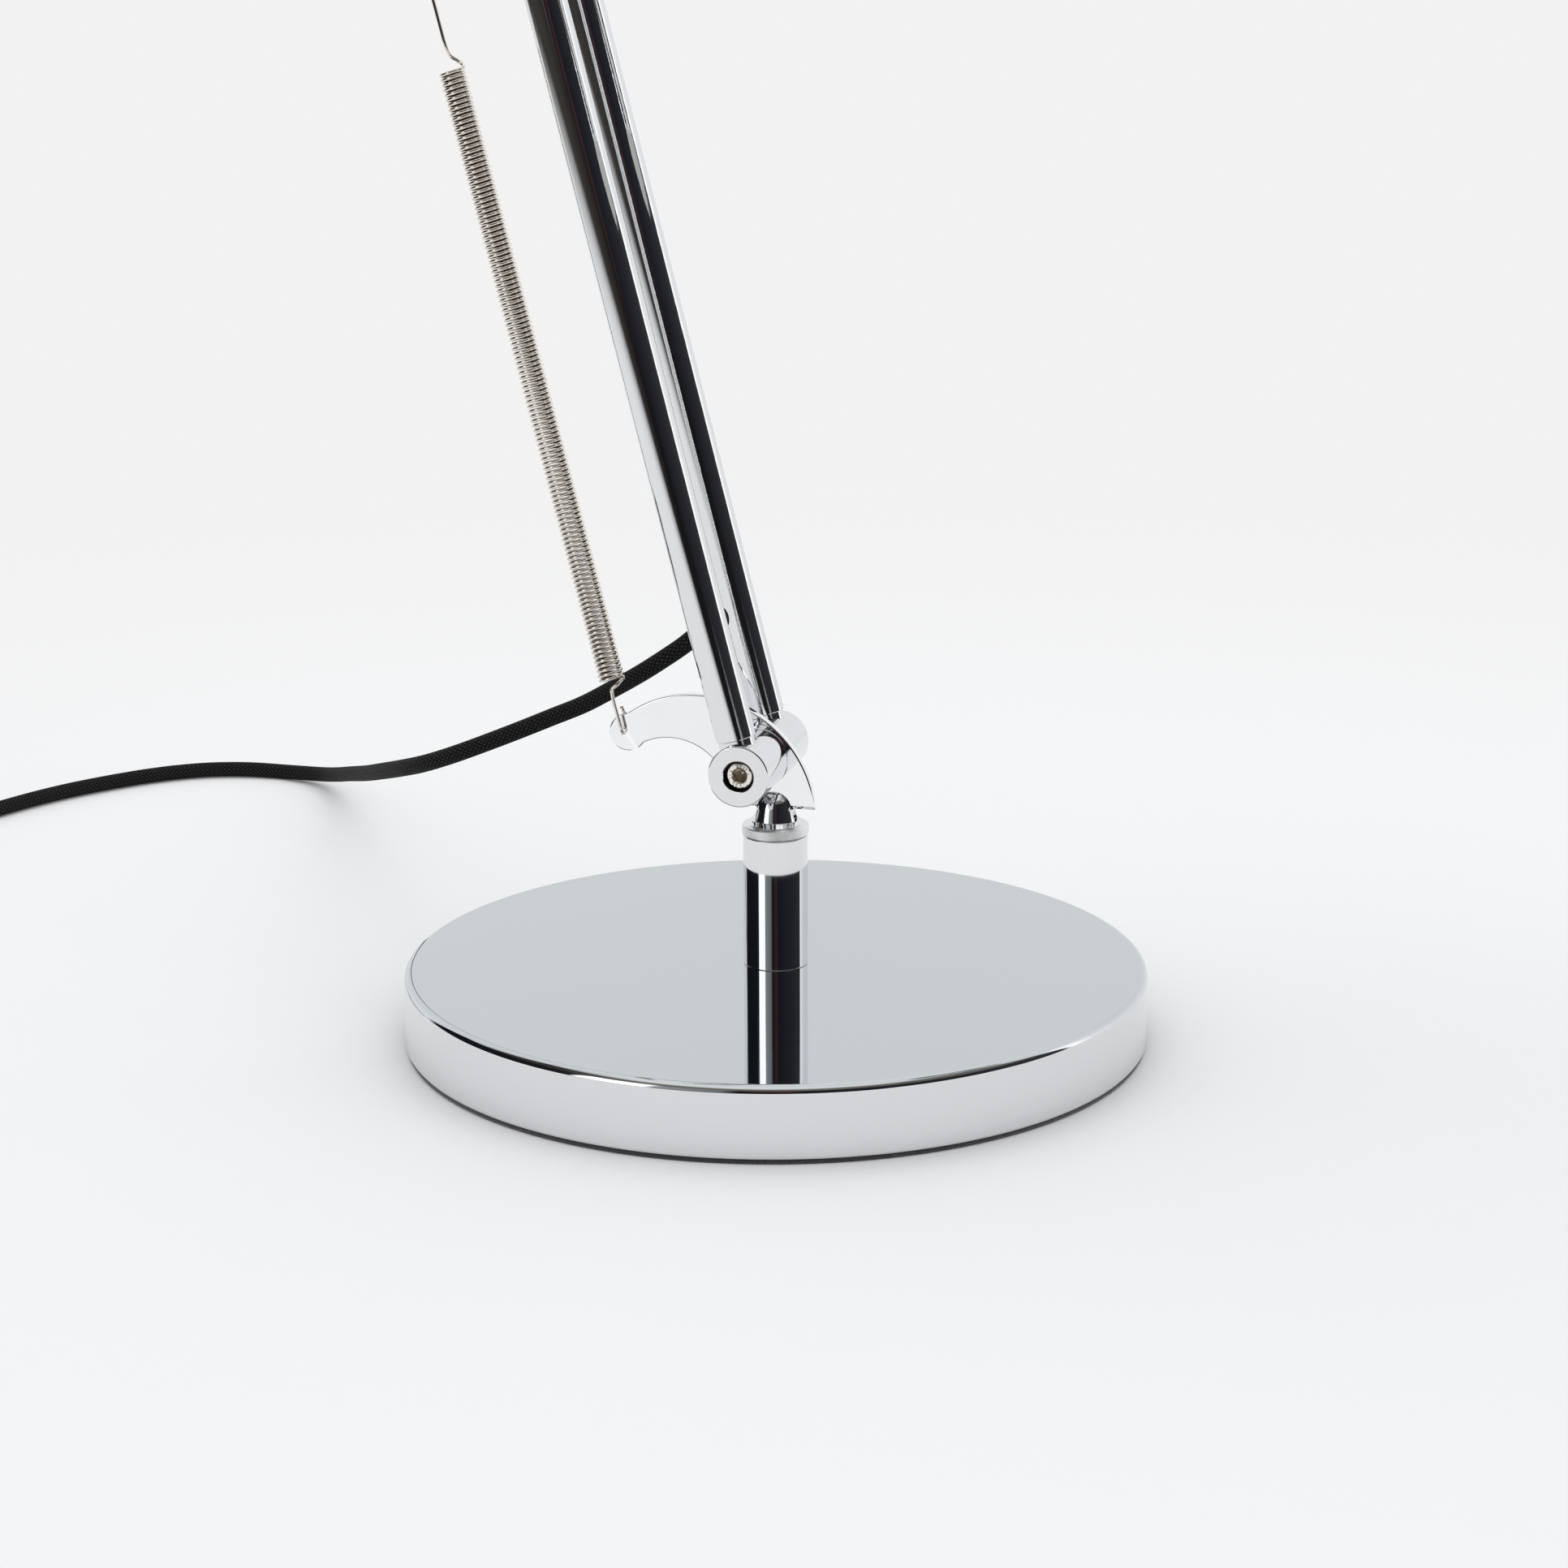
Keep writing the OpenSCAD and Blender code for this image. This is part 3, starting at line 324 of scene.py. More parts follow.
def joined(name, pieces):
    nothing_selected()
    for piece in pieces:
        piece.select_set(True)
    bpy.context.view_layer.objects.active = pieces[0]
    if len(pieces) > 1:
        bpy.ops.object.join()
    return take(name)


def set_in(obj, place):
    """Puts a piece modelled in millimetres at its place, with its place in its mesh."""
    lay(obj, TO_METRES @ place)
    if place.determinant() < 0:
        edit(obj)
        faces_out()
        leave()
    return obj


def two_finishes(obj, finishes, test):
    """Gives the second finish to the faces that pass the test and the first one to the others."""
    for finish in finishes:
        obj.data.materials.append(finish)
    for face in obj.data.polygons:
        face.material_index = int(test(face))


def fit(obj, body, finish, slot, *nodes):
    """Gives a piece its finish, hides the CAD parts of the nodes that it stands for, and parents it to its
    body.
    """
    sides = [face.material_index for face in obj.data.polygons]
    obj.data.materials.clear()
    for material in finish if isinstance(finish, list) else [finish]:
        obj.data.materials.append(material)
    if len(obj.data.materials) > 1:
        obj.data.polygons.foreach_set("material_index", sides)
    if nodes:
        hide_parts(*nodes)
    if body:
        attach(obj, body)
    return obj


def put(obj, angle, place, *binding):
    """The usual last steps of a piece: it is smoothed, set in and fitted."""
    smooth(obj, angle)
    set_in(obj, place)
    return fit(obj, *binding)


def turned_part(name, profile, steps, *rest):
    return put(turned(name, profile, steps), *rest)


# Wires and cords, swept along smooth lines

WIRE_SIDES = 12


def bend_smooth(points, steps):
    """A smooth line through the points."""
    line = []
    ends = [2 * points[0] - points[1], *points, 2 * points[-1] - points[-2]]
    for a, b, c, d in zip(ends, ends[1:], ends[2:], ends[3:]):
        for k in range(steps):
            t = k / steps
            square = (2 * a - 5 * b + 4 * c - d) * t * t
            cube = (3 * b - a - 3 * c + d) * t * t * t
            line.append(0.5 * (2 * b + (c - a) * t + square + cube))
    line.append(points[-1].copy())
    return line


def swept(name, line, radius, sides, first=0, last=None):
    """A round tube along a line, or a stretch of it, with a UV map round it and along it in metres."""
    last = len(line) - 1 if last is None else last
    mesh = bpy.data.meshes.new(name)
    tube = bmesh.new()
    uv = tube.loops.layers.uv.new("along")
    rings = []
    lengths = [0.0]
    for a, b in zip(line, line[1:]):
        lengths.append(lengths[-1] + (b - a).length)
    ahead = (line[1] - line[0]).normalized()
    side = ahead.cross(Vector((0, 0, 1)) if abs(ahead.z) < 0.9 else Vector((1, 0, 0))).normalized()
    for i, point in enumerate(line):
        ahead = (line[min(i + 1, len(line) - 1)] - line[max(i - 1, 0)]).normalized()
        side = (side - side.dot(ahead) * ahead).normalized()
        other = ahead.cross(side)
        if first <= i <= last:
            angles = [FULL_TURN * k / sides for k in range(sides)]
            rings.append([
                tube.verts.new(point + radius * (math.cos(angle) * side + math.sin(angle) * other))
                for angle in angles
            ])
    for i in range(len(rings) - 1):
        for k in range(sides):
            n = (k + 1) % sides
            face = tube.faces.new((rings[i][k], rings[i][n], rings[i + 1][n], rings[i + 1][k]))
            face.smooth = True
            for loop, (u, v) in zip(face.loops, ((k, i), (k + 1, i), (k + 1, i + 1), (k, i + 1))):
                loop[uv].uv = (u / sides, lengths[first + v])
    tube.faces.new(list(reversed(rings[0])))
    tube.faces.new(rings[-1])
    tube.to_mesh(mesh)
    tube.free()
    return new_object(name, mesh)


def bezier(a, b, c, d, t):
    return (1 - t) ** 3 * a + 3 * t * (1 - t) ** 2 * b + 3 * t * t * (1 - t) * c + t**3 * d


def cord_along(name, line, sides, *stretch):
    return swept(name, line, CORD_R * MM, sides, *stretch)


def wire_along(name, line):
    return swept(name, line, WIRE_R * MM, WIRE_SIDES)


# Materials


def feed(tree, node, inputs):
    """Sets a node's inputs. An input that is given another node's output is linked to it."""
    for key, value in inputs.items():
        if isinstance(value, bpy.types.NodeSocket):
            tree.links.new(value, node.inputs[key])
        else:
            node.inputs[key].default_value = value


def add_node(tree, kind, inputs=None, **values):
    node = tree.nodes.new("ShaderNode" + kind)
    for key, value in values.items():
        setattr(node, key, value)
    feed(tree, node, inputs or {})
    return node


def calculate(tree, operation, *values, clamp=False):
    node = add_node(tree, "Math", dict(enumerate(values)), operation=operation, use_clamp=clamp)
    return node.outputs["Value"]


def mix_shaders(tree, share, one, two):
    """The first shader where the share is 0, the second where it is 1."""
    return add_node(tree, "MixShader", {"Fac": share, 1: one, 2: two}).outputs["Shader"]


def new_material(name, **values):
    material = bpy.data.materials.new(name)
    material.use_nodes = True
    tree = material.node_tree
    shader = tree.nodes["Principled BSDF"]
    for key, value in values.items():
        value = (*value, 1.0) if isinstance(value, tuple) else value
        shader.inputs[key.replace("_", " ")].default_value = value
    return material, tree, shader


def own_coordinates(tree):
    return add_node(tree, "TexCoord").outputs["Object"]


def scaled(tree, scale, turn=(0, 0, 0)):
    """The piece's own coordinates, scaled and turned for a pattern."""
    scale = scale if isinstance(scale, tuple) else (scale, scale, scale)
    inputs = {"Vector": own_coordinates(tree), "Scale": scale, "Rotation": turn}
    return add_node(tree, "Mapping", inputs).outputs["Vector"]


def noise(tree, vector, scale=1.0, detail=4.0, rough=0.5):
    inputs = {"Vector": vector, "Scale": scale, "Detail": detail, "Roughness": rough}
    return add_node(tree, "TexNoise", inputs).outputs["Fac"]


def ramp(tree, fac, stops):
    """A colour for each value. A stop gives a colour, or one number for a grey."""
    node = add_node(tree, "ValToRGB", {"Fac": fac})
    elements = node.color_ramp.elements
    while len(elements) < len(stops):
        elements.new(0.5)
    for element, (place, colour) in zip(elements, stops):
        element.position = place
        element.color = (*colour, 1.0) if isinstance(colour, tuple) else (colour, colour, colour, 1.0)
    return node.outputs["Color"]


def add_bump(tree, shader, height, strength, distance):
    bump = add_node(tree, "Bump", {"Height": height, "Strength": strength, "Distance": distance})
    feed(tree, shader, {"Normal": bump.outputs["Normal"]})


def plated(name, colour, shine, wander, scale, turn=(0, 0, 0), streak=0.05):
    """Plated metal: its roughness wanders a little, and its surface is never quite true."""
    material, tree, shader = new_material(name, Base_Color=colour, Metallic=1.0, Roughness=shine)
    wave = noise(tree, scaled(tree, scale, turn), rough=0.6)
    rough = {"Value": wave, "To Min": max(0.0, shine - wander), "To Max": shine + wander}
    tint = ramp(tree, wave, [(0.3, tuple(c * 0.97 for c in colour)), (0.7, colour)])
    feed(tree, shader, {"Roughness": add_node(tree, "MapRange", rough).outputs["Result"], "Base Color": tint})
    add_bump(tree, shader, wave, streak, 0.0002)
    return material


CHROME = (0.79, 0.8, 0.81)
DRAWN = (900, 900, 2.5)
chrome = plated("mirror_chrome", CHROME, 0.035, 0.012, 90, streak=0.03)
tube_chrome = {
    "lower": plated("drawn_chrome_lower", CHROME, 0.04, 0.015, DRAWN, (0, LEAN, 0), 0.06),
    "upper": plated("drawn_chrome_upper", CHROME, 0.04, 0.015, DRAWN, (0, RISE - QUARTER, 0), 0.06),
}
post_chrome = plated("post_chrome", CHROME, 0.03, 0.01, (700, 700, 3.0), streak=0.08)
# The brackets' chrome is tinted brighter than the other chrome, as painted light
plate_chrome_painted_light = plated("plate_chrome_painted_light", (0.93, 0.94, 0.95), 0.04, 0.012, 90, streak=0.03)
# The bore and counterbore walls are bare unplated steel, and their dark brown is also painted shade in the
# recess
bare_bore_painted_shade = plated("bare_bore_painted_shade", (0.15, 0.12, 0.09), 0.3, 0.1, 500, streak=0.1)
satin = plated("satin_nickel", (0.9, 0.9, 0.9), 0.22, 0.12, 2600, streak=0.7)
zinc = plated("zinc_steel", (0.55, 0.56, 0.57), 0.34, 0.08, 400, streak=0.15)
warm_nickel = plated("warm_nickel", (0.84, 0.82, 0.76), 0.16, 0.05, 600)
# The hex socket's inside is painted dark brown as shade in the recess
socket_painted_shade = plated("socket_painted_shade", (0.62, 0.53, 0.42), 0.42, 0.08, 700, streak=0.1)
spring_nickel = plated("spring_nickel", (0.82, 0.76, 0.69), 0.08, 0.03, 1200)
# Painted shade for the inner side of the spring's wire
coil_inside_painted_shade = plated("coil_inside_painted_shade", (0.1, 0.07, 0.045), 0.3, 0.06, 1200)
shade_chrome = plated("shade_chrome", CHROME, 0.05, 0.02, 60)


def base_plate_chrome():
    """The base cover's plating, with painted shade: its flat top is tinted darker and bluer than its rim."""
    material, tree, shader = new_material("base_chrome_painted_shade", Metallic=1.0, Roughness=0.035)
    normal = add_node(tree, "NewGeometry").outputs["Normal"]
    up = add_node(tree, "SeparateXYZ", {"Vector": normal}).outputs["Z"]
    # Painted shade: faces that look up get a darker, bluer tint than the rim
    tint = ramp(tree, up, [(0.15, (0.755, 0.76, 0.775)), (0.9, (0.6, 0.632, 0.653))])
    feed(tree, shader, {"Base Color": tint})
    add_bump(tree, shader, noise(tree, scaled(tree, 1), 60.0), 0.03, 0.0002)
    return material


base_chrome_painted_shade = base_plate_chrome()


def speckled(name, colour, second, scale, rough, strength, distance, **values):
    """A material with grain: two colours mixed by noise, and a bump from it."""
    material, tree, shader = new_material(name, Roughness=rough, **values)
    grain = noise(tree, scaled(tree, scale), detail=8.0, rough=0.65)
    feed(tree, shader, {"Base Color": ramp(tree, grain, [(0.35, colour), (0.68, second)])})
    add_bump(tree, shader, grain, strength, distance)
    return material


cast_iron = speckled(
    "cast_iron", (0.06, 0.06, 0.065), (0.13, 0.12, 0.115), 260, 0.7, 0.6, 0.0006, Metallic=0.6
)
felt = speckled(
    "black_felt", (0.012, 0.012, 0.014), (0.04, 0.04, 0.043), 1500, 0.95, 0.9, 0.0004, Sheen_Weight=0.4
)
rubber = speckled("soft_rubber", (0.016, 0.016, 0.017), (0.026, 0.026, 0.027), 700, 0.6, 0.15, 0.0002)
white_plastic = speckled("white_plastic", (0.76, 0.75, 0.71), (0.8, 0.79, 0.75), 500, 0.38, 0.08, 0.0001)
black_plastic = speckled("black_plastic", (0.012, 0.012, 0.013), (0.02, 0.02, 0.021), 600, 0.22, 0.05, 0.0001)
shade_white = speckled("white_lacquer", (0.8, 0.8, 0.78), (0.84, 0.84, 0.82), 350, 0.42, 0.12, 0.0001)
opal = speckled(
    "opal_glass", (0.88, 0.87, 0.83), (0.9, 0.89, 0.86), 40, 0.28, 0.02, 0.0001,
    Subsurface_Weight=0.35, Coat_Weight=0.6,
)

STRANDS = 12
STRAND_STEP = 1.8


def woven_cloth():
    """Two sets of strands that cross, read from the cord's own UV map."""
    material, tree, shader = new_material("woven_black_cloth", Roughness=0.8, Specular_IOR_Level=0.2)

    def calc(operation, *values):
        return calculate(tree, operation, *values)

    place = add_node(tree, "UVMap", uv_map="along").outputs["UV"]
    split = add_node(tree, "SeparateXYZ", {"Vector": place}).outputs
    around = calc("MULTIPLY", split["X"], STRANDS)
    along = calc("MULTIPLY", split["Y"], 1000 / STRAND_STEP)
    one = calc("SINE", calc("MULTIPLY", calc("ADD", around, along), math.pi))
    two = calc("SINE", calc("MULTIPLY", calc("SUBTRACT", around, along), math.pi))
    ridge = calc("MULTIPLY", calc("ABSOLUTE", one), calc("ABSOLUTE", two))
    over = calc("GREATER_THAN", calc("MULTIPLY", one, two), 0)
    fibre = noise(tree, own_coordinates(tree), 2600.0, 3.0)
    grain = calc("ADD", calc("MULTIPLY", ridge, 0.8), calc("MULTIPLY", over, 0.12))
    height = calc("ADD", grain, calc("MULTIPLY", fibre, 0.25))
    # Painted highlight and painted shade: the colour is lighter on the strands' crowns and darker in the gaps
    # between them
    tint = ramp(tree, height, [(0.15, 0.002), (0.6, (0.008, 0.008, 0.0085)), (1.0, (0.04, 0.04, 0.042))])
    feed(tree, shader, {"Base Color": tint})
    add_bump(tree, shader, height, 1.0, 0.0007)
    return material


cloth = woven_cloth()

# The free cord: down from the rear tube, over the table, and on to its coil

DROP_POINTS = [
    (-20.5, 12.4, 129), (-25.7, 10.3, 125.3), (-31.2, 8.8, 120.6), (-37.7, 8.4, 115.9), (-46, 11, 110.2),
    (-56.3, 16.4, 103.6), (-67.7, 20, 96.8), (-78.9, 22, 91.5), (-84.5, 22.5, 88.9),
]
RUN_POINTS = [
    (-91.7, 23.2, 85.6), (-102, 24.4, 81), (-114, 26.2, 75.8), (-126, 31.5, 70.7), (-139, 45, 64.8),
    (-158.3, 76, 54.4), (-183.3, 125, 39.3), (-213.8, 185.5, 21.3), (-231, 217, 11.7), (-246, 238, 5.3),
    (-263, 246, 3), (-279, 246, 3), (-294, 242, 3), (-306, 234.5, 3), (-316, 225, 3), (-326, 212.5, 3),
    (-335, 199, 3), (-342.5, 184.5, 3), (-349, 169, 3), (-357, 149.5, 3), (-366, 128, 3.4),
    (-374, 108, 3.7),
]
TAIL_POINTS = [
    (-452, 139.2, 10), (-445.2, 157, 9), (-441.5, 176, 7.2), (-443.5, 195, 6.5), (-451, 213, 7.2),
    (-461, 229, 7.5),
]
COIL_HEADING = math.radians(-111.8)
COIL_LOOPS = 5.5
COIL_OUTER_R = 42.0
LOOP_PITCH = 6.2
COIL_INNER_R = COIL_OUTER_R - LOOP_PITCH * COIL_LOOPS / 2
COIL_MID = (
    RUN_POINTS[-1][0] + COIL_OUTER_R * math.sin(COIL_HEADING),
    RUN_POINTS[-1][1] - COIL_OUTER_R * math.cos(COIL_HEADING),
)
COIL_Z = 3.7
CLIMB_TURNS = 0.5


def loop_point(t):
    """A point of the coil, t turns along it. It spirals in, climbs a layer, and spirals out."""
    halfway = t - COIL_LOOPS / 2
    radius = COIL_INNER_R + LOOP_PITCH * abs(halfway)
    angle = COIL_HEADING + QUARTER - FULL_TURN * t
    q = min(1.0, max(0.0, halfway / CLIMB_TURNS + 0.5))
    height = COIL_Z + LOOP_PITCH * q * q * (3 - 2 * q)
    return Vector((COIL_MID[0] + radius * math.cos(angle), COIL_MID[1] + radius * math.sin(angle), height))


LOOP_STEPS = 48
BEND_STEPS = 6
loop_line = [loop_point(k / LOOP_STEPS) * MM for k in range(int(COIL_LOOPS * LOOP_STEPS) + 1)]
free_line = bend_smooth(metres(DROP_POINTS + RUN_POINTS) + [loop_line[0]], BEND_STEPS)[:-1]
tail_line = bend_smooth([loop_line[-1], *metres(TAIL_POINTS)], BEND_STEPS)[1:]
cord_line = free_line + loop_line + tail_line
joint = (len(DROP_POINTS) - 1) * BEND_STEPS
cord_drop = cord_along("cloth_cord_drop", cord_line, 24, 0, joint)
fit(cord_drop, None, cloth, "cord", "cord_drop")
cord_table = cord_along("cloth_cord_on_table", cord_line, 24, joint)
fit(cord_table, None, cloth, "cord", "cord_run", "cord_coil")

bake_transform(cord_drop)
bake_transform(cord_table)

# Plug, its pins, and the tie round the coil

PLUG_PLACE = Matrix.Translation(TAIL_POINTS[-1]) @ rotated(math.radians(122), "Z")
PLUG_LENGTH = 34.0
PLUG_WIDTH = 27.0
PLUG_THICKNESS = 15.0
RELIEF_LENGTH = 28.0

plug = block("plug", (PLUG_LENGTH, PLUG_WIDTH, PLUG_THICKNESS), (RELIEF_LENGTH + PLUG_LENGTH / 2, 0, 0))
edit(plug)
pick_faces(plug, lambda middle, normal: normal.x < -0.9)
extrude(-4, 0, 0)
bpy.ops.transform.resize(value=(1, 0.62, 0.84))
pick_faces(plug, lambda middle, normal: normal.x > 0.9)
bpy.ops.mesh.inset(thickness=1.2)
extrude(-0.6, 0, 0)
soften(0.55, 4, 20)
leave()

relief_profile = [(0.0, 0.0), (3.1, 0.0), (3.6, 0.6)]
RIBS = 6
for rib in range(RIBS):
    foot = 2.0 + rib * 3.9
    outer = 3.7 + 0.42 * rib
    inner = 3.1 + 0.42 * rib
    relief_profile += [(outer, foot), (outer, foot + 2.3), (inner, foot + 2.6), (inner, foot + 3.5)]
relief_profile += [(6.3, 26.2), (6.3, 30.0), (0.0, 30.0)]
relief = turned("plug_relief", relief_profile, 40)
ease(relief, 0.2, 2)
cut(plug, lay(relief, ALONG_X), "UNION")
put(plug, 40, PLUG_PLACE, "base", rubber, "bush", "plug_body")

PIN_SIDE = 9.5
PIN_SET_IN = 6
PIN_PROFILE = [(0.0, 0.0), (2.0, 0.0), (2.0, 23.2), (1.75, 24.2), (1.0, 24.9), (0.0, 25.0)]
pins = []
for side in (-1, 1):
    pin = turned("plug_pin", PIN_PROFILE, 32)
    ease(pin, 0.12, 2)
    pins.append(lay(pin, moved(RELIEF_LENGTH + PLUG_LENGTH - PIN_SET_IN, side * PIN_SIDE, 0) @ ALONG_X))
plug_pins = put(joined("plug_pins_turned", pins), 35, PLUG_PLACE, "base", zinc, "hardware", "plug_pins")

TIE_TURN = COIL_HEADING + QUARTER - FULL_TURN * 0.3
TIE_GAP = 0.6
TIE_WALL = 0.8
tie_inner = COIL_INNER_R - CORD_R - TIE_GAP
tie_outer = COIL_OUTER_R + CORD_R + TIE_GAP
tie_width = tie_outer - tie_inner
tie_mid = (tie_inner + tie_outer) / 2
tie_height = LOOP_PITCH + 2 * CORD_R + TIE_GAP
tie_mid_z = TIE_WALL + tie_height / 2
tie = block("cord_strap", (tie_width + 2 * TIE_WALL, 9, tie_height + 2 * TIE_WALL), (tie_mid, 0, tie_mid_z))
cut(tie, block("strap_hole", (tie_width, 20, tie_height), (tie_mid, 0, tie_mid_z)))
ease(tie, 0.3, 2)
put(tie, 35, moved(*COIL_MID, 0) @ rotated(TIE_TURN, "Z"), "base", rubber, "bush", "cord_tie")


# Base, post and collar

COLLAR_TOP = 68.1
turned_part(
    "base_shell",
    [
        (5.1, 22.3), (5.1, 23.5), (60.0, 23.5), (112.5, 23.5), (113.46, 23.31), (114.27, 22.77),
        (114.81, 21.96), (115.0, 21.0), (115.0, 2.2), (114.7, 1.7), (114.2, 1.6), (113.8, 1.6),
        (113.8, 22.3), (5.1, 22.3),
    ],
    256, 30, HERE, "base", base_chrome_painted_shade, "chrome", "base_cover",
)
turned_part(
    "base_pad",
    [(0.0, 0.0), (114.1, 0.0), (114.4, 0.3), (114.5, 0.8), (114.4, 1.3), (114.1, 1.6), (0.0, 1.6)],
    256, 40, HERE, "base", felt, "felt", "base_felt",
)
turned_part(
    "post_tube",
    [
        (5.0, 23.5), (9.6, 23.5), (9.85, 23.6), (10.0, 23.85), (10.0, 64.6), (9.8, 64.8), (8.5, 64.8),
        (8.5, 35.5), (5.0, 35.5), (5.0, 23.5),
    ],
    128, 35, HERE, "base", post_chrome, "chrome", "post",
)
turned_part(
    "post_collar",
    [
        (4.05, 52.8), (8.4, 52.8), (8.4, 65.2), (10.1, 65.2), (10.3, 65.4), (10.3, 67.8), (10.1, 68.05),
        (9.8, COLLAR_TOP), (4.05, COLLAR_TOP), (4.05, 52.8),
    ],
    128, 35, HERE, "base", satin, "satin", "collar",
)

# Swivel necks, under the lower bracket and on the head

NECK_PROFILE = [
    (0.0, -24.0), (3.6, -24.0), (4.0, -23.6), (4.0, 0.0), (7.55, 0.0), (7.7, 0.15), (7.7, 1.4), (7.5, 1.6),
    (6.8, 1.6), (6.7, 1.75), (6.35, 3.2), (6.0, 4.7), (5.68, 6.1), (5.1, 7.5), (4.7, 8.2), (4.1, 8.9),
    (3.4, 9.55), (2.75, 9.95), (2.3, 10.2), (0.0, 10.2),
]
NECK_STEM = 24.0


def make_neck(name, stem):
    profile = [(r, z if z > -1 else z + NECK_STEM - stem) for r, z in NECK_PROFILE]
    neck = turned(name, profile)
    cut(neck, block("slot_cutter", (30, PLATE_T + 0.1, 12), (0, 0, 7.6)))
    return neck


neck = make_neck("swivel_foot", NECK_STEM)
cut(neck, block("flat_cutter", (14, 14, 6), (-1.2, -4.3, 12.5), (math.radians(44.5), math.radians(-11.5), 0)))
head_neck = make_neck("head_foot", 16.0)
for piece, place, body, node in (
    (neck, moved(0, 0, COLLAR_TOP), "neck", "swivel_neck"),
    (head_neck, at_head(CAP_TOP_W), "head", "head_neck"),
):
    ease(piece, 0.18, 2, 35)
    put(piece, 32, place, body, chrome, "chrome", node)

# Brackets

PLATE_EDGE = 0.55


def on_circle(middle, radius, angle):
    return (middle[0] + radius * math.cos(angle), middle[1] + radius * math.sin(angle))


def arc(middle, radius, start, end, count):
    return [on_circle(middle, radius, start + (end - start) * k / count) for k in range(count + 1)]


def crossings(a, ra, b, rb):
    """The two points where two circles cross."""
    dx, dy = b[0] - a[0], b[1] - a[1]
    d = math.hypot(dx, dy)
    along = (ra * ra - rb * rb + d * d) / (2 * d)
    off = math.sqrt(ra * ra - along * along)
    mx, my = a[0] + along * dx / d, a[1] + along * dy / d
    return [(mx - off * dy / d, my + off * dx / d), (mx + off * dy / d, my - off * dx / d)]


def angle_of(point, middle):
    return math.atan2(point[1] - middle[1], point[0] - middle[0])


def ray_to_circle(start, direction, middle, radius):
    """Where a ray from inside a circle leaves it."""
    px, py = start[0] - middle[0], start[1] - middle[1]
    along = px * direction[0] + py * direction[1]
    reach = -along + math.sqrt(along * along - px * px - py * py + radius * radius)
    return (start[0] + reach * direction[0], start[1] + reach * direction[1])


def horn():
    """From the outer arc, round the horn, to the inner arc."""
    meet_out = max(crossings(OUTER_MID, OUTER_R, HORN_MID, HORN_R), key=lambda p: p[0] + p[1])
    meet_in = max(crossings(INNER_MID, INNER_R, HORN_MID, HORN_R), key=lambda p: p[0])
    end = angle_of(meet_in, HORN_MID) + FULL_TURN
    return meet_out, meet_in, arc(HORN_MID, HORN_R, angle_of(meet_out, HORN_MID), end, 41)


def cut_slit(bracket):
    """The slit that the spring's hook sits in, round at its end."""
    reach = 15
    x, z = on_circle(HOOK, reach / 2, SLIT_TURN)
    slit = block("slit_cutter", (reach, 10, 2 * SLIT_R), (x, 0, z), (0, -SLIT_TURN, 0))
    cut(slit, cross_bar("slit_end", SLIT_R, 10, *HOOK), "UNION")
    cut(bracket, slit)


def cut_bolt_hole(bracket, x, z):
    cut(bracket, cross_bar("bolt_hole_cutter", BOLT_HOLE_R, 20, x, z))


def plate(name, outline, holes, slit=False):
    """A bracket with its bolt holes, and with the spring's slit where it has one."""
    bracket = slab(name, outline, PLATE_T, PLATE_EDGE)
    if slit:
        cut_slit(bracket)
    for spot in holes:
        cut_bolt_hole(bracket, *spot)
    return bracket


def tail_of(middle, radius):
    """Where a circle of the bracket's outline meets the foot of its tail."""
    return middle[0] + math.sqrt(radius**2 - (-TAIL_DROP - middle[1]) ** 2), -TAIL_DROP


meet_out, meet_in, horn_outline = horn()
tail_start = angle_of(tail_of(OUTER_MID, OUTER_R), OUTER_MID)
tail_end = angle_of(tail_of(INNER_MID, INNER_R), INNER_MID)
lower_outline = (
    [(-0.4, -TAIL_DROP), (-0.4, -18.6), (10.6, -18.6), (10.6, -TAIL_DROP)]
    + arc(OUTER_MID, OUTER_R, tail_start, angle_of(meet_out, OUTER_MID), 80)
    + horn_outline[1:]
    + arc(INNER_MID, INNER_R, angle_of(meet_in, INNER_MID), tail_end, 60)[1:]
)
lower_bracket = plate("lower_crescent", lower_outline, [], True)
cut(lower_bracket, block("tail_ease", (60, 1.7, 1.7), (10, -PLATE_T / 2, -TAIL_DROP), (math.pi / 4, 0, 0)))
cut_bolt_hole(lower_bracket, 0, 0)
put(lower_bracket, 40, Matrix.Translation(PIVOT), "neck", plate_chrome_painted_light, "chrome", "lower_bracket")

ROOT_LOBE_R = 11.4
lobe_mid = (
    ROOT_LOCAL[0] * math.cos(LEAN) + ROOT_LOCAL[1] * math.sin(LEAN),
    ROOT_LOCAL[0] * math.sin(LEAN) - ROOT_LOCAL[1] * math.cos(LEAN),
)
lobe_out = max(crossings(OUTER_MID, OUTER_R, lobe_mid, ROOT_LOBE_R), key=lambda p: p[0] + p[1])
lobe_run = (Vector(lobe_mid) - Vector(OUTER_MID)).normalized()
lobe_in = tuple(Vector(lobe_mid) - ROOT_LOBE_R * lobe_run)
lobe_foot = ray_to_circle(OUTER_MID, lobe_run, INNER_MID, INNER_R)
lobe_end = angle_of(lobe_out, lobe_mid) + FULL_TURN
elbow_outline = (
    arc(OUTER_MID, OUTER_R, angle_of(lobe_out, OUTER_MID), angle_of(meet_out, OUTER_MID), 90)
    + horn_outline[1:]
    + arc(INNER_MID, INNER_R, angle_of(meet_in, INNER_MID), angle_of(lobe_foot, INNER_MID), 60)[1:]
    + arc(lobe_mid, ROOT_LOBE_R, angle_of(lobe_in, lobe_mid), lobe_end, 48)[:-1]
)
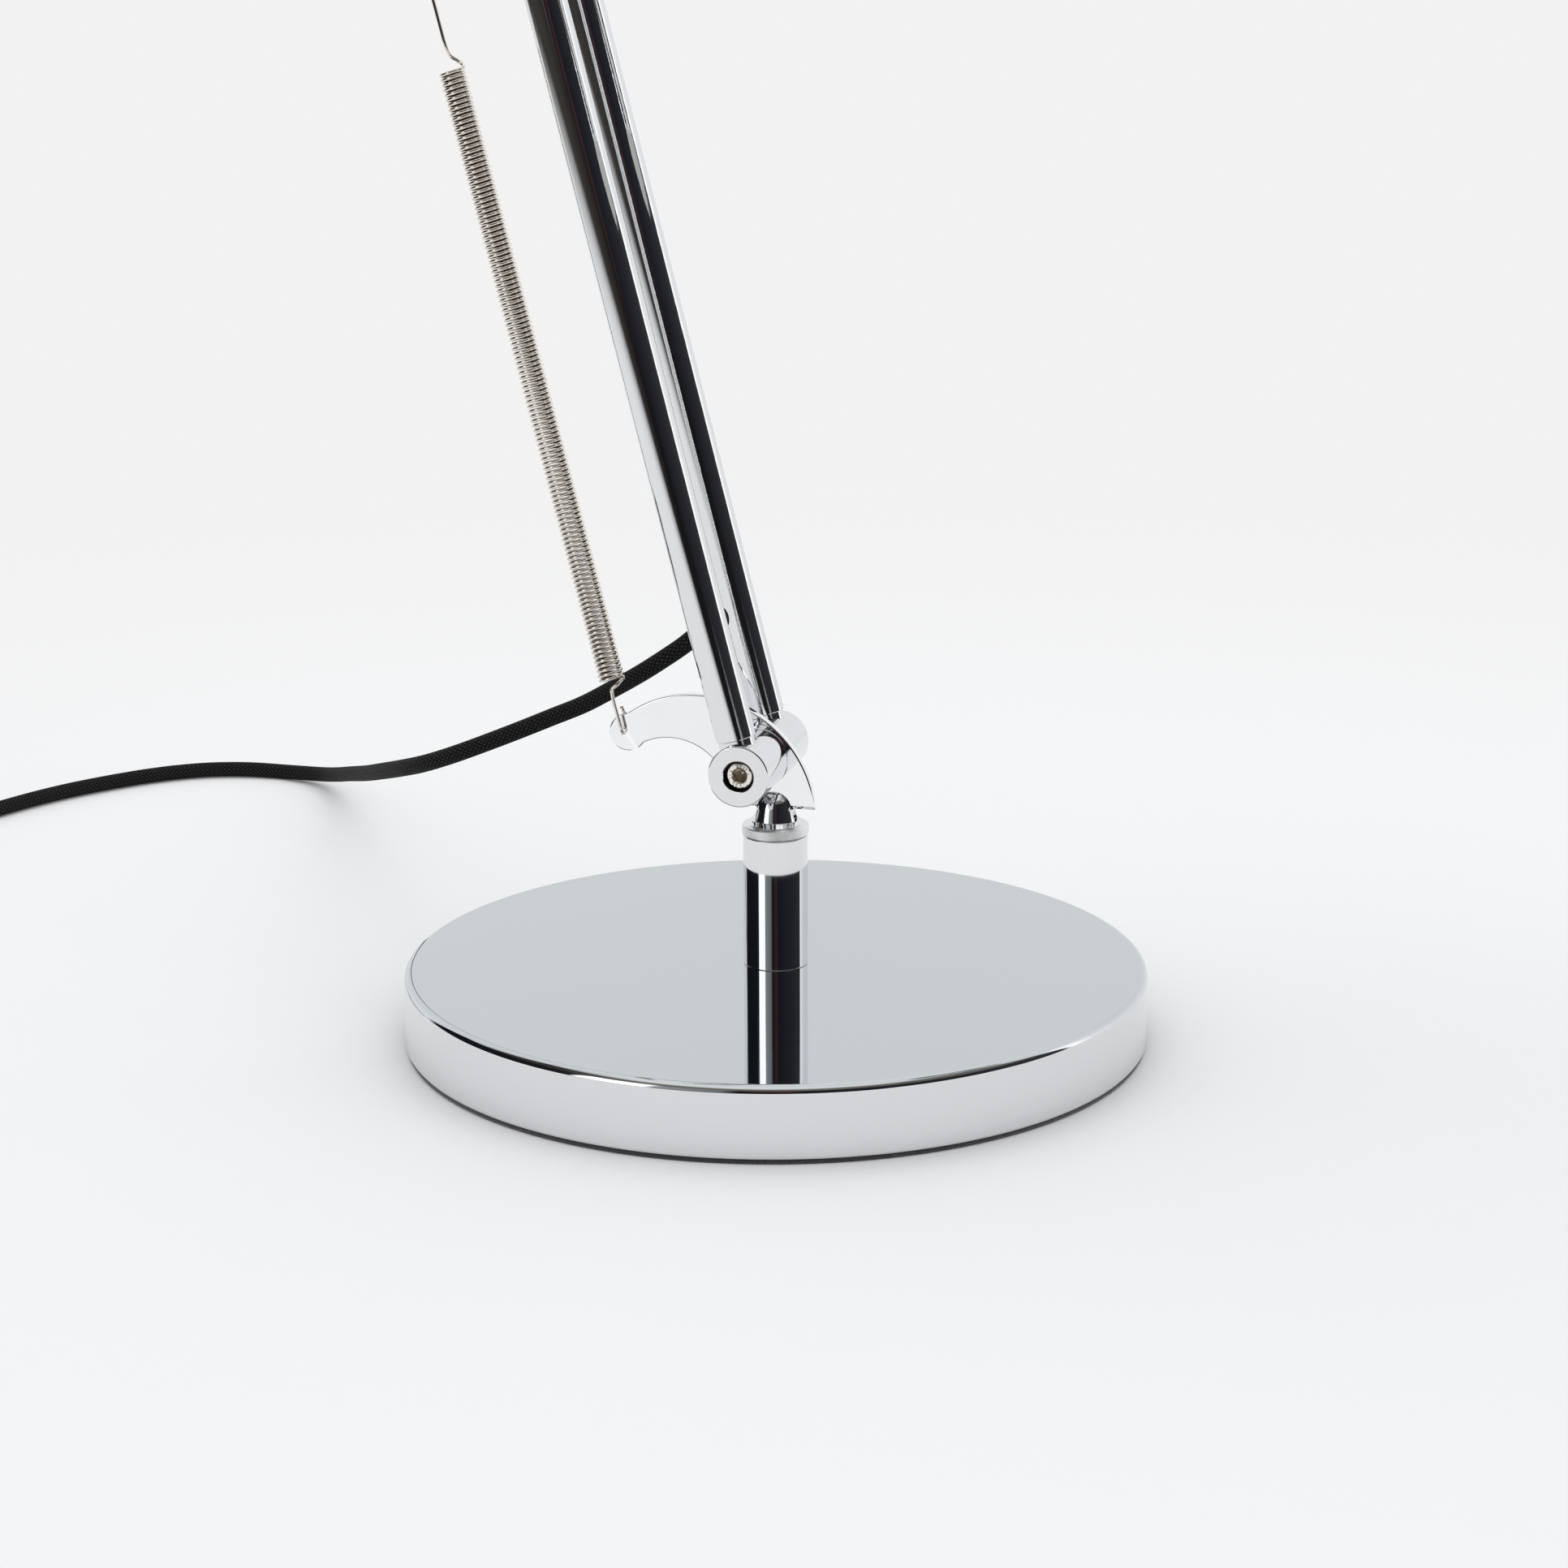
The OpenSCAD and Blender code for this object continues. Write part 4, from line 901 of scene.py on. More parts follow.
elbow_bracket = plate("elbow_crescent", elbow_outline, [(0, 0), lobe_mid], True)
smooth(elbow_bracket, 40)
turned_over = rotated(-LEAN, "Y") @ Matrix.Scale(-1, 4, (0, 0, 1)) @ rotated(LEAN, "Y")
set_in(elbow_bracket, Matrix.Translation(ELBOW) @ turned_over)
smooth(elbow_bracket, 40)
fit(elbow_bracket, "upper_arm", plate_chrome_painted_light, "chrome", "elbow_bracket")

LINK_R = 11.0
link_outline = arc((0, 0), LINK_R, math.radians(-10), math.radians(190), 48) + [(-5.5, -31.8), (5.5, -31.8)]
head_bracket = plate("head_link", link_outline, [(0, 0)])
put(head_bracket, 40, at_head(), "head", plate_chrome_painted_light, "chrome", "head_bracket")

# Knuckle parts, each modelled once along Z and copied

MOUTH_AT = BARREL_LENGTH - 6.5
BARREL_FINISH = [chrome, bare_bore_painted_shade]
barrel_model = turned(
    "barrel_model",
    [
        (BOLT_HOLE_R, 0.0), (9.1, 0.0), (9.3, 0.04), (9.45, 0.18), (BARREL_R, 0.4),
        (BARREL_R, BARREL_LENGTH - 0.45), (9.44, BARREL_LENGTH - 0.2), (9.27, BARREL_LENGTH - 0.05),
        (9.05, BARREL_LENGTH), (4.95, BARREL_LENGTH), (4.75, BARREL_LENGTH - 0.2), (4.75, MOUTH_AT),
        (BOLT_HOLE_R, MOUTH_AT), (BOLT_HOLE_R, 0.0),
    ],
)
# Faces inside the bore and counterbore get the bare steel finish with painted shade
two_finishes(barrel_model, BARREL_FINISH, lambda face: face.center.xy.length < 4.8)
shoulder_profile = [(0.0, 7.0), (5.6, 7.0), (5.6, 10.5), (5.05, 10.5), (5.05, 25.0), (4.6, 25.5), (0.0, 25.5)]
shoulder = turned("shoulder_model", shoulder_profile, 64)
cut(barrel_model, lay(shoulder, moved(0, 0, TUBE_Y - INNER_FACE) @ ALONG_FRONT), "UNION")
smooth(barrel_model, 35)

KEY_ACROSS = 4.0
KEY_TURN = 0.2
BOLT_END = 39.5
NUT_ACROSS = 8.0
HEX_CORNER = 0.5 / math.cos(math.pi / 6)
SCREW_FINISH = [warm_nickel, socket_painted_shade]
bolt_model = turned(
    "bolt_model",
    [
        (0.0, -0.2), (2.3, -0.2), (2.5, 0.0), (2.5, 34.5), (4.2, 34.5), (4.25, 34.7), (4.25, 38.5),
        (4.1, 39.1), (3.8, 39.4), (3.4, BOLT_END), (0.0, BOLT_END),
    ],
    72,
)
socket = round_bar("socket_cutter", KEY_ACROSS * HEX_CORNER, 5.2, (0, 0, BOLT_END), (0, 0, KEY_TURN), 6)
edit(socket)
pick_faces(socket, lambda middle, normal: normal.z < -0.9)
extrude(0, 0, -1.1)
bpy.ops.transform.resize(value=(0.12, 0.12, 1))
leave()
cut(bolt_model, socket)
cut(bolt_model, turned("socket_mouth", [(0.0, 38.6), (1.6, 38.6), (2.6, 39.6), (0.0, 39.6)], 48))
# Faces inside the hex socket get the painted shade finish
two_finishes(bolt_model, SCREW_FINISH, lambda face: face.center.xy.length < 2.35 and face.center.z > 36)
ease(bolt_model, 0.09, 2, 30)
smooth(bolt_model, 30)

nut_model = round_bar("nut_model", NUT_ACROSS * HEX_CORNER, 5.0, (0, 0, 2.5), (0, 0, 0), 6)
nut_edge = [(0.0, -0.2), (4.15, -0.2), (5.0, 0.6), (5.0, 4.4), (4.15, 5.2), (0.0, 5.2)]
cut(nut_model, turned("nut_edge", nut_edge, 64), "INTERSECT")
cut(nut_model, round_bar("nut_bore", 2.5, 12, (0, 0, 2.5)))
smooth(nut_model, 25)

washer_profile = [
    (BOLT_HOLE_R, 0.0), (7.4, 0.0), (7.5, 0.1), (7.5, 0.4), (7.4, 0.5), (BOLT_HOLE_R, 0.5),
    (BOLT_HOLE_R, 0.0),
]
washer_model = turned("washer_model", washer_profile, 72)
smooth(washer_model)

BOLT_FOOT_Y = 17.3
NUT_FOOT_Y = 17.2


def placed_copy(model, name, place):
    """A copy of a model, with its own mesh, set in at its place."""
    twin = model.copy()
    twin.data = model.data.copy()
    twin.name = name
    twin.data.name = name
    bpy.context.scene.collection.objects.link(twin)
    return set_in(twin, place)


def knuckle(prefix, place, far_end, barrel_body, barrel_nodes, washer_body, washer_node, bolts, nuts):
    """A knuckle at an arm's foot or at its far end: two barrels, two washers, one bolt and one nut."""
    sides = ((-1, "front", ALONG_FRONT), (1, "rear", ALONG_BACK))
    barrels = []
    for side, where, faced in sides:
        # The shoulder of a barrel points along the tube that it carries
        spin = rotated(math.pi * ((side < 0) != far_end), "Z")
        barrel_place = place @ moved(0, side * INNER_FACE, 0) @ faced @ spin
        barrels.append(placed_copy(barrel_model, f"{prefix}_barrel_{where}", barrel_place))
    washers = [
        placed_copy(washer_model, f"{prefix}_washer", place @ moved(0, side * PLATE_T / 2, 0) @ faced)
        for side, where, faced in sides
    ]
    if len(barrel_nodes) == 1:
        barrels = [joined(f"{prefix}_barrels", barrels)]
    for barrel, node in zip(barrels, barrel_nodes):
        fit(barrel, barrel_body, BARREL_FINISH, "chrome", node)
    fit(joined(f"{prefix}_washers", washers), washer_body, zinc, "hardware", washer_node)
    bolts.append(placed_copy(bolt_model, f"{prefix}_bolt", place @ moved(0, BOLT_FOOT_Y, 0) @ ALONG_FRONT))
    nuts.append(placed_copy(nut_model, f"{prefix}_nut", place @ moved(0, NUT_FOOT_Y, 0) @ ALONG_BACK))


screws = {"lower": ([], []), "upper": ([], [])}
knuckle(
    "lower", at_lower(), False, "lower_arm", ["lower_barrel_front", "lower_barrel_rear"],
    "neck", "lower_friction_washers", *screws["lower"],
)
knuckle(
    "elbow", at_lower(LOWER_LENGTH), True, "lower_arm", ["elbow_barrel_front", "elbow_barrel_rear"],
    "upper_arm", "elbow_friction_washers", *screws["lower"],
)
knuckle(
    "root", at_upper(), False, "upper_arm", ["root_barrels"], "upper_arm", "root_spacers", *screws["upper"]
)
knuckle(
    "tip", at_upper(UPPER_LENGTH), True, "upper_arm", ["tip_barrels"], "head", "head_friction_washers",
    *screws["upper"],
)
for arm, (bolts, nuts) in screws.items():
    fit(joined(f"{arm}_bolts", bolts), f"{arm}_arm", SCREW_FINISH, "nickel", f"{arm}_arm_bolts")
    fit(joined(f"{arm}_nuts", nuts), f"{arm}_arm", zinc, "hardware", f"{arm}_arm_nuts")
for model in (barrel_model, bolt_model, nut_model, washer_model):
    bpy.data.objects.remove(model, do_unlink=True)

# Tubes, their cord holes and bushes


def arm_tube(name, length, place, side, holes):
    foot, top = SHOULDER_AT, length - SHOULDER_AT
    tube = turned(
        name,
        [
            (TUBE_BORE_R, foot), (TUBE_R - 0.2, foot), (TUBE_R, foot + 0.2), (TUBE_R, top - 0.2),
            (TUBE_R - 0.2, top), (TUBE_BORE_R, top), (TUBE_BORE_R, foot),
        ],
    )
    for up, turn in holes:
        x, y = on_circle((0, 0), 6, turn)
        cut(tube, round_bar("hole_cutter", 3.4, 8, (x, y, up), (0, QUARTER, turn), 48))
    smooth(tube)
    return set_in(tube, place @ moved(0, side * TUBE_Y, 0))


def bush(name, place, up, turn):
    profile = [
        (2.9, 4.6), (3.35, 4.6), (3.35, 6.1), (3.7, 6.15), (3.75, 6.35), (3.55, 6.5), (3.05, 6.5),
        (2.9, 6.35), (2.9, 4.6),
    ]
    ring = turned(name, profile, 40)
    smooth(ring, 40)
    return set_in(ring, place @ moved(0, TUBE_Y, up) @ rotated(turn, "Z") @ ALONG_X)


for arm, length, place, foot_turn in (
    ("lower", LOWER_LENGTH, at_lower(), CORD_HOLE_TURN),
    ("upper", UPPER_LENGTH, at_upper(), 0.0),
):
    holes = [(CORD_HOLE_AT, foot_turn), (length - CORD_HOLE_AT, 0.0)]
    for where, side, side_holes in (("front", -1, []), ("rear", 1, holes)):
        tube = arm_tube(f"{arm}_rod_{where}", length, place, side, side_holes)
        fit(tube, f"{arm}_arm", tube_chrome[arm], "chrome", f"{arm}_tube_{where}")
    rings = [bush(f"{arm}_bush", place, *hole) for hole in holes]
    fit(joined(f"{arm}_bushes", rings), f"{arm}_arm", rubber, "bush", f"{arm}_cord_bushes")

# Cable loops at the elbow and at the head


def at_rear_tube(arm_place, out, up):
    return arm_place @ Vector((out, TUBE_Y, up))


def cable_loop(name, node, start, start_pull, end_pull, end, steps=40):
    """A loop of cable from one body to the other, pulled out at both ends."""
    line = [bezier(start, start_pull, end_pull, end, k / steps) * MM for k in range(steps + 1)]
    cable = fit(cord_along(name, line, 20), None, cloth, "cord", node)
    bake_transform(cable)
    return cable, line


LOOP_START = TUBE_R + 0.4
ELBOW_PULL = 48
HEAD_PULL = 30
elbow_loop = cable_loop(
    "elbow_cable", "upper_arm_cable",
    at_rear_tube(at_lower(), LOOP_START, LOWER_LENGTH - CORD_HOLE_AT),
    at_rear_tube(at_lower(), ELBOW_PULL, LOWER_LENGTH - CORD_HOLE_AT),
    at_rear_tube(at_upper(), ELBOW_PULL, CORD_HOLE_AT),
    at_rear_tube(at_upper(), LOOP_START, CORD_HOLE_AT),
)
# The cable inside the upper tube lies close to its wall, and ends a little way before the holes
INNER_OUT = 2.15
INNER_FROM = CORD_HOLE_AT + 6
inner_foot = at_rear_tube(at_upper(), INNER_OUT, INNER_FROM)
inner_top = at_rear_tube(at_upper(), INNER_OUT, UPPER_LENGTH - INNER_FROM)
inner_line = [inner_foot.lerp(inner_top, k / 10) * MM for k in range(11)]
fit(cord_along("upper_inner_cable", inner_line, 16), "upper_arm", cloth, "cord")

GLAND_X = -14.5
GLAND_H = 7.0
gland_mouth = HEAD + Vector((GLAND_X, 0, -CAP_TOP_W + GLAND_H - 1))
head_loop = cable_loop(
    "head_loop_cable", "head_cable",
    at_rear_tube(at_upper(), LOOP_START, UPPER_LENGTH - CORD_HOLE_AT),
    at_rear_tube(at_upper(), HEAD_PULL, UPPER_LENGTH - CORD_HOLE_AT),
    gland_mouth + Vector((0, 0, HEAD_PULL)),
    gland_mouth,
)

# Spring: close wound wire, a hook below and a long leg with a hook above

HOOK_BEND = [
    (0.1, -3.55, 13), (0, -3.6, 9), (0, -3.6, 4), (0, -3.5, 1.6), (0, -2.8, 0.45), (0, -1.6, 0), (0, 0, 0),
    (0, 1.6, 0), (0, 2.8, 0.45), (0.1, 3.4, 1.6), (0.1, 3.3, 4), (-0.4, 2.9, 7.4),
]
HOOK_ROOT = [(3.55, -1.4, 16.6), (3.55, -1.9, 16.5), (3.1, -2.6, 16.1), (2.2, -3.2, 15.4), (0.6, -3.45, 14.6)]
COIL_PITCH = COIL_LENGTH / COIL_TURNS
COIL_STEPS = 32
COIL_FINISH = [spring_nickel, coil_inside_painted_shade]
# The side of the wire that faces the coil's middle is painted dark brown as shade, from this share of its
# radius inwards
PAINTED_SHADE_FROM = 0.15


def spring_wire(name, body, points, node):
    placed = [at_lower() @ Vector((-SPRING_OUT + x, y, HOOK_UP + z)) * MM for x, y, z in points]
    return fit(wire_along(name, bend_smooth(placed, 5)), body, spring_nickel, "nickel", node)


def coil_piece(name, body, first_turn, turns, *nodes):
    nothing_selected()
    bpy.ops.mesh.primitive_circle_add(
        vertices=WIRE_SIDES, radius=WIRE_R, location=(SPRING_R, 0, 0), rotation=(QUARTER, 0, 0)
    )
    coil = take(name)
    keep_place()
    add_modifier(
        coil, "SCREW", axis="Z", angle=FULL_TURN, screw_offset=COIL_PITCH, iterations=turns,
        steps=COIL_STEPS, render_steps=COIL_STEPS, use_merge_vertices=False, use_smooth_shade=True,
    )
    edit(coil)
    bpy.ops.mesh.select_non_manifold()
    bpy.ops.mesh.edge_face_add()
    faces_out()
    leave()
    two_finishes(coil, COIL_FINISH, lambda face: face.center.xy.length < SPRING_R - PAINTED_SHADE_FROM * WIRE_R)
    only(coil)
    bpy.ops.object.shade_smooth()
    set_in(coil, at_lower(COIL_START + first_turn * COIL_PITCH) @ moved(-SPRING_OUT, 0, 0))
    return fit(coil, body, COIL_FINISH, "nickel", *nodes)


LOWER_TURNS = 63
lower_coil = coil_piece("spring_lower_half", None, 0, LOWER_TURNS, "spring_coil")
coil_piece("spring_upper_half", "spring_mid", LOWER_TURNS, COIL_TURNS - LOWER_TURNS)
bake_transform(lower_coil)
spring_wire("spring_hook_wire", "spring_low", HOOK_ROOT + HOOK_BEND, "spring_hook")

coil_end = COIL_START + COIL_LENGTH - HOOK_UP
leg_end = TOP_HOOK_UP - HOOK_UP
leg_points = [
    (SPRING_R, 0.0, coil_end), (SPRING_R - 0.3, 1.6, coil_end + 0.9), (1.8, 2.0, coil_end + 2.6),
    (0.3, 1.0, coil_end + 4.6), (0, 0.2, coil_end + 8), (0, 0, coil_end + 16), (0, 0, coil_end + 45),
    (0, 0, leg_end - 50), (0, 0, leg_end - 30), (0, 0, leg_end - 17), (0, -0.8, leg_end - 16),
    (0, -2.2, leg_end - 14.8),
]
top_bend = [(x, y, leg_end - z) for x, y, z in HOOK_BEND]
top_wire = spring_wire("spring_top_wire", None, leg_points + top_bend, "spring_top_hook")
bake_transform(top_wire)

# Head: cap, shade, holder, bulb, switch


def down(profile, start=0.0):
    """Turns (radius, depth below the start) into (radius, height above the pivot)."""
    return [(r, -start - w) for r, w in profile]


CAP_WALL = 1.2
CAP_LENGTH = CAP_END_W - CAP_TOP_W
cap = turned(
    "lamp_cap",
    down([
        (4.1, 0), (20.6, 0), (21.4, 0.2), (21.9, 0.8), (22.0, 1.5), (22.0, CAP_LENGTH - 0.2),
        (21.8, CAP_LENGTH), (20.8, CAP_LENGTH), (20.8, 2.0), (20.2, CAP_WALL), (4.1, CAP_WALL), (4.1, 0),
    ], CAP_TOP_W),
    128,
)
VENTS = 12
vent_cutters = []
for k in range(VENTS):
    angle = FULL_TURN * (k + 0.5) / VENTS
    spot = (*on_circle((0, 0), 21, angle), -CAP_TOP_W - 12)
    vent_cutters.append(round_bar("vent", 1.8, 6, spot, (0, QUARTER, angle), 24))
BUTTON_X = 14.0
for name, radius, x in (("button_hole", 3.8, BUTTON_X), ("gland_hole", 4.45, GLAND_X)):
    vent_cutters.append(round_bar(name, radius, 8, (x, 0, -CAP_TOP_W), (0, 0, 0), 48))
cut(cap, joined("vents", vent_cutters))
put(cap, 35, at_head(), "head", shade_chrome, "shade_metal", "cap")

turned_part(
    "cord_gland",
    [
        (2.9, -4.2), (4.35, -4.2), (4.35, 0.0), (5.6, 0.0), (5.8, 0.3), (5.8, 1.2), (5.5, 1.5), (5.1, 1.7),
        (5.0, 2.6), (4.55, 2.8), (4.55, 3.3), (4.85, 3.5), (4.8, 4.3), (4.35, 4.5), (4.35, 5.0),
        (4.6, 5.2), (4.5, 6.4), (4.1, 6.9), (3.4, 7.0), (2.9, 6.8), (2.9, -4.2),
    ],
    64, 40, at_head(CAP_TOP_W) @ moved(GLAND_X, 0, 0), "head", rubber, "bush", "cap_gland",
)

SHADE_TOP_R = 22.0
SHADE_R = 75.0
SHADE_WALL = 1.0
shade_a = Vector((SHADE_TOP_R, 0))
shade_b = Vector((SHADE_TOP_R + 0.53 * (SHADE_R - SHADE_TOP_R), 4))
shade_c = Vector((SHADE_R - 3, 0.42 * SHADE_DROP))
shade_e = Vector((SHADE_R, SHADE_DROP - 1.6))


def shade_point(t):
    return bezier(shade_a, shade_b, shade_c, shade_e, t)


def shade_inner(t):
    run = (shade_point(min(t + 0.01, 1)) - shade_point(max(t - 0.01, 0))).normalized()
    return shade_point(t) + SHADE_WALL * Vector((-run.y, run.x))


BELL_STEPS = 36
outer_curve = [tuple(shade_point(k / BELL_STEPS)) for k in range(BELL_STEPS + 1)]
inner_curve = [tuple(shade_inner(k / BELL_STEPS)) for k in range(BELL_STEPS, -1, -1)]
rim_mid = (SHADE_R - 1.6 + SHADE_WALL * 0.4, SHADE_DROP - 1.6)
rim_curve = arc(rim_mid, 1.6, math.radians(-15), math.radians(215), 14)
SHADE_HOLE_R = 17.1
SHADE_FOCUS = Vector((0, 0, -CAP_END_W - 62))
shade_profile = (
    [(SHADE_HOLE_R, 0.0), (SHADE_TOP_R - 0.6, 0.0)] + outer_curve[:-1] + rim_curve + inner_curve[1:]
    + [(SHADE_TOP_R - 0.6, SHADE_WALL), (SHADE_HOLE_R, SHADE_WALL), (SHADE_HOLE_R, 0.0)]
)
shade = turned("bell_shade", [(r, -CAP_END_W - w) for r, w in shade_profile], 160)
smooth(shade, 40)
shade_finish = [shade_chrome, shade_white]
two_finishes(shade, shade_finish, lambda face: face.normal.dot(face.center - SHADE_FOCUS) <= 0)
set_in(shade, at_head())
fit(shade, "head", shade_finish, "shade_metal", "shade")

ring_profile = [(17.05, 0.0), (21.6, 0.0), (22.0, 0.4), (22.0, 3.6), (21.6, 4.0), (17.05, 4.0), (17.05, 0.0)]
clamp_ring = turned("clamp_ring", ring_profile)
GRIPS = 24
grips = []
for k in range(GRIPS):
    spot = (*on_circle((0, 0), 22.3, FULL_TURN * k / GRIPS), 2)
    grips.append(round_bar("grip", 0.9, 8, spot, (0, 0, 0), 12))
cut(clamp_ring, joined("grips", grips))
ring_place = at_head(CAP_END_W + SHADE_WALL + 4)
put(clamp_ring, 30, ring_place, "head", white_plastic, "holder_plastic", "shade_ring")


def ridges(w, end, step, ridge):
    """Repeats a ridge of (radius, depth) along a wall, from one depth to another."""
    profile = []
    while (w > end) if step < 0 else (w < end):
        profile += [(r, w + below) for r, below in ridge]
        w += step
    return profile


HOLDER_TOP_W = CAP_TOP_W + CAP_WALL + 12
HOLDER_END_W = CAP_END_W + 14
skirt = ridges(
    HOLDER_END_W - 0.4, CAP_END_W + 6.5, -2.2, [(17.0, 0), (16.3, -0.7), (16.3, -1.0), (17.0, -1.7)]
)
turned_part(
    "bulb_holder",
    down(
        [(13.5, HOLDER_END_W), (16.6, HOLDER_END_W)] + skirt
        + [
            (17.0, CAP_END_W), (18.0, CAP_END_W - 0.2), (18.0, HOLDER_TOP_W + 0.6), (17.4, HOLDER_TOP_W),
            (4.0, HOLDER_TOP_W), (4.0, HOLDER_END_W - 33), (13.5, HOLDER_END_W - 33), (13.5, HOLDER_END_W),
        ]
    ),
    96, 35, at_head(), "head", white_plastic, "holder_plastic", "lampholder",
)

BULB_TOP_W = HOLDER_END_W - 25
BULB_CAP_LENGTH = 27
thread = ridges(5.5, BULB_CAP_LENGTH - 3.5, 3.0, [(12.4, 0), (13.1, 0.9), (13.15, 1.3), (12.4, 2.2)])
turned_part(
    "bulb_screw_cap",
    down(
        [(0.0, 0), (3.6, 0.2), (4.2, 1.2), (7.2, 2.4), (10.8, 3.4), (12.2, 4.6)] + thread + [
            (12.9, BULB_CAP_LENGTH - 1.6), (13.2, BULB_CAP_LENGTH), (12.6, BULB_CAP_LENGTH),
            (12.2, BULB_CAP_LENGTH - 2.0), (12.2, 6.0), (0.0, 6.0),
        ],
        BULB_TOP_W,
    ),
    72, 40, at_head(), "head", zinc, "hardware", "bulb_cap",
)

BULB_R = 30.0
BULB_MID_W = BULB_TOP_W + 68
BULB_NECK_W = BULB_TOP_W + BULB_CAP_LENGTH


def globe(grow):
    """The glass from its neck to its tip, as (radius, depth)."""
    neck_points = [(12.6, -7), (12.6, 0), (13.4, 3.5), (16.0, 9.5), (20.5, 17), (24.6, 24)]
    start = math.radians(-24)
    ball = arc((0, BULB_MID_W), BULB_R + grow, start, QUARTER, 26)
    return [(r + grow, BULB_NECK_W + w) for r, w in neck_points] + ball


GLASS_T = 1.0
glass_tip = [(0.0, BULB_MID_W + BULB_R), (0.0, BULB_MID_W + BULB_R - GLASS_T)]
turned_part(
    "bulb_globe",
    down(globe(0)[:-1] + glass_tip + list(reversed(globe(-GLASS_T)))[1:] + [globe(0)[0]]),
    96, 60, at_head(), "head", opal, "opal_glass", "bulb",
)

button_place = at_head() @ moved(BUTTON_X, 0, 0)
turned_part(
    "switch_case",
    down([(0.0, 13.2), (4.3, 13.2), (4.5, 13.0), (4.5, 1.3), (3.6, 1.3), (3.6, 6.7), (0.0, 6.7)], CAP_TOP_W),
    48, 35, button_place, "head", black_plastic, "black_plastic", "switch_body",
)
turned_part(
    "push_button",
    down([
        (0.0, 3.7), (3.3, 3.7), (3.5, 3.5), (3.5, -3.0), (3.3, -3.55), (2.7, -3.9), (1.6, -3.75), (0.0, -3.6),
    ], CAP_TOP_W),
    64, 45, button_place, "button", black_plastic, "black_plastic", "switch_button",
)

# Parts of the frame that keep their own shape get their finishes

turned_steel = "post_rod post_washer post_nut neck_washer neck_nut bracket_pin head_pin head_nut"
for names, finish in (("base_weight", cast_iron), (turned_steel, zinc), ("lower_arm_cable", rubber)):
    for name in names.split():
        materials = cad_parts[name].data.materials
        materials.clear()
        materials.append(finish)

# Floor, world and lamps: a pale studio with a dark room behind the camera

PALE = (0.888, 0.888, 0.888, 1.0)
WHITE = (1.0, 1.0, 1.0, 1.0)


def floor_material():
    """Pale paper. The camera sees it fade into the backdrop, and chrome shows the room past it."""
    material, tree, shader = new_material("studio_paper", Base_Color=(0.8, 0.8, 0.805), Roughness=0.9)
    away = add_node(tree, "VectorMath", {0: own_coordinates(tree)}, operation="LENGTH").outputs["Value"]
    rays = add_node(tree, "LightPath").outputs

    def past(near, far, ray):
        """From 0 at one distance from the lamp to 1 at another, for one kind of ray."""
        inputs = {"Value": away, "From Min": near, "From Max": far}
        fade = add_node(tree, "MapRange", inputs, interpolation_type="SMOOTHSTEP")
        return calculate(tree, "MULTIPLY", fade.outputs["Result"], rays[ray])

    paper = add_node(tree, "Emission", {"Color": PALE, "Strength": 1.0}).outputs["Emission"]
    clear = add_node(tree, "BsdfTransparent").outputs["BSDF"]
    seen = mix_shaders(tree, past(0.3, 0.9, "Is Camera Ray"), shader.outputs["BSDF"], paper)
    surface = mix_shaders(tree, past(0.6, 1.5, "Is Glossy Ray"), seen, clear)
    feed(tree, tree.nodes["Material Output"], {"Surface": surface})
    return material


nothing_selected()
bpy.ops.mesh.primitive_plane_add(size=16, location=(0, 0, 0))
floor = take("studio_floor")
floor.data.materials.append(floor_material())


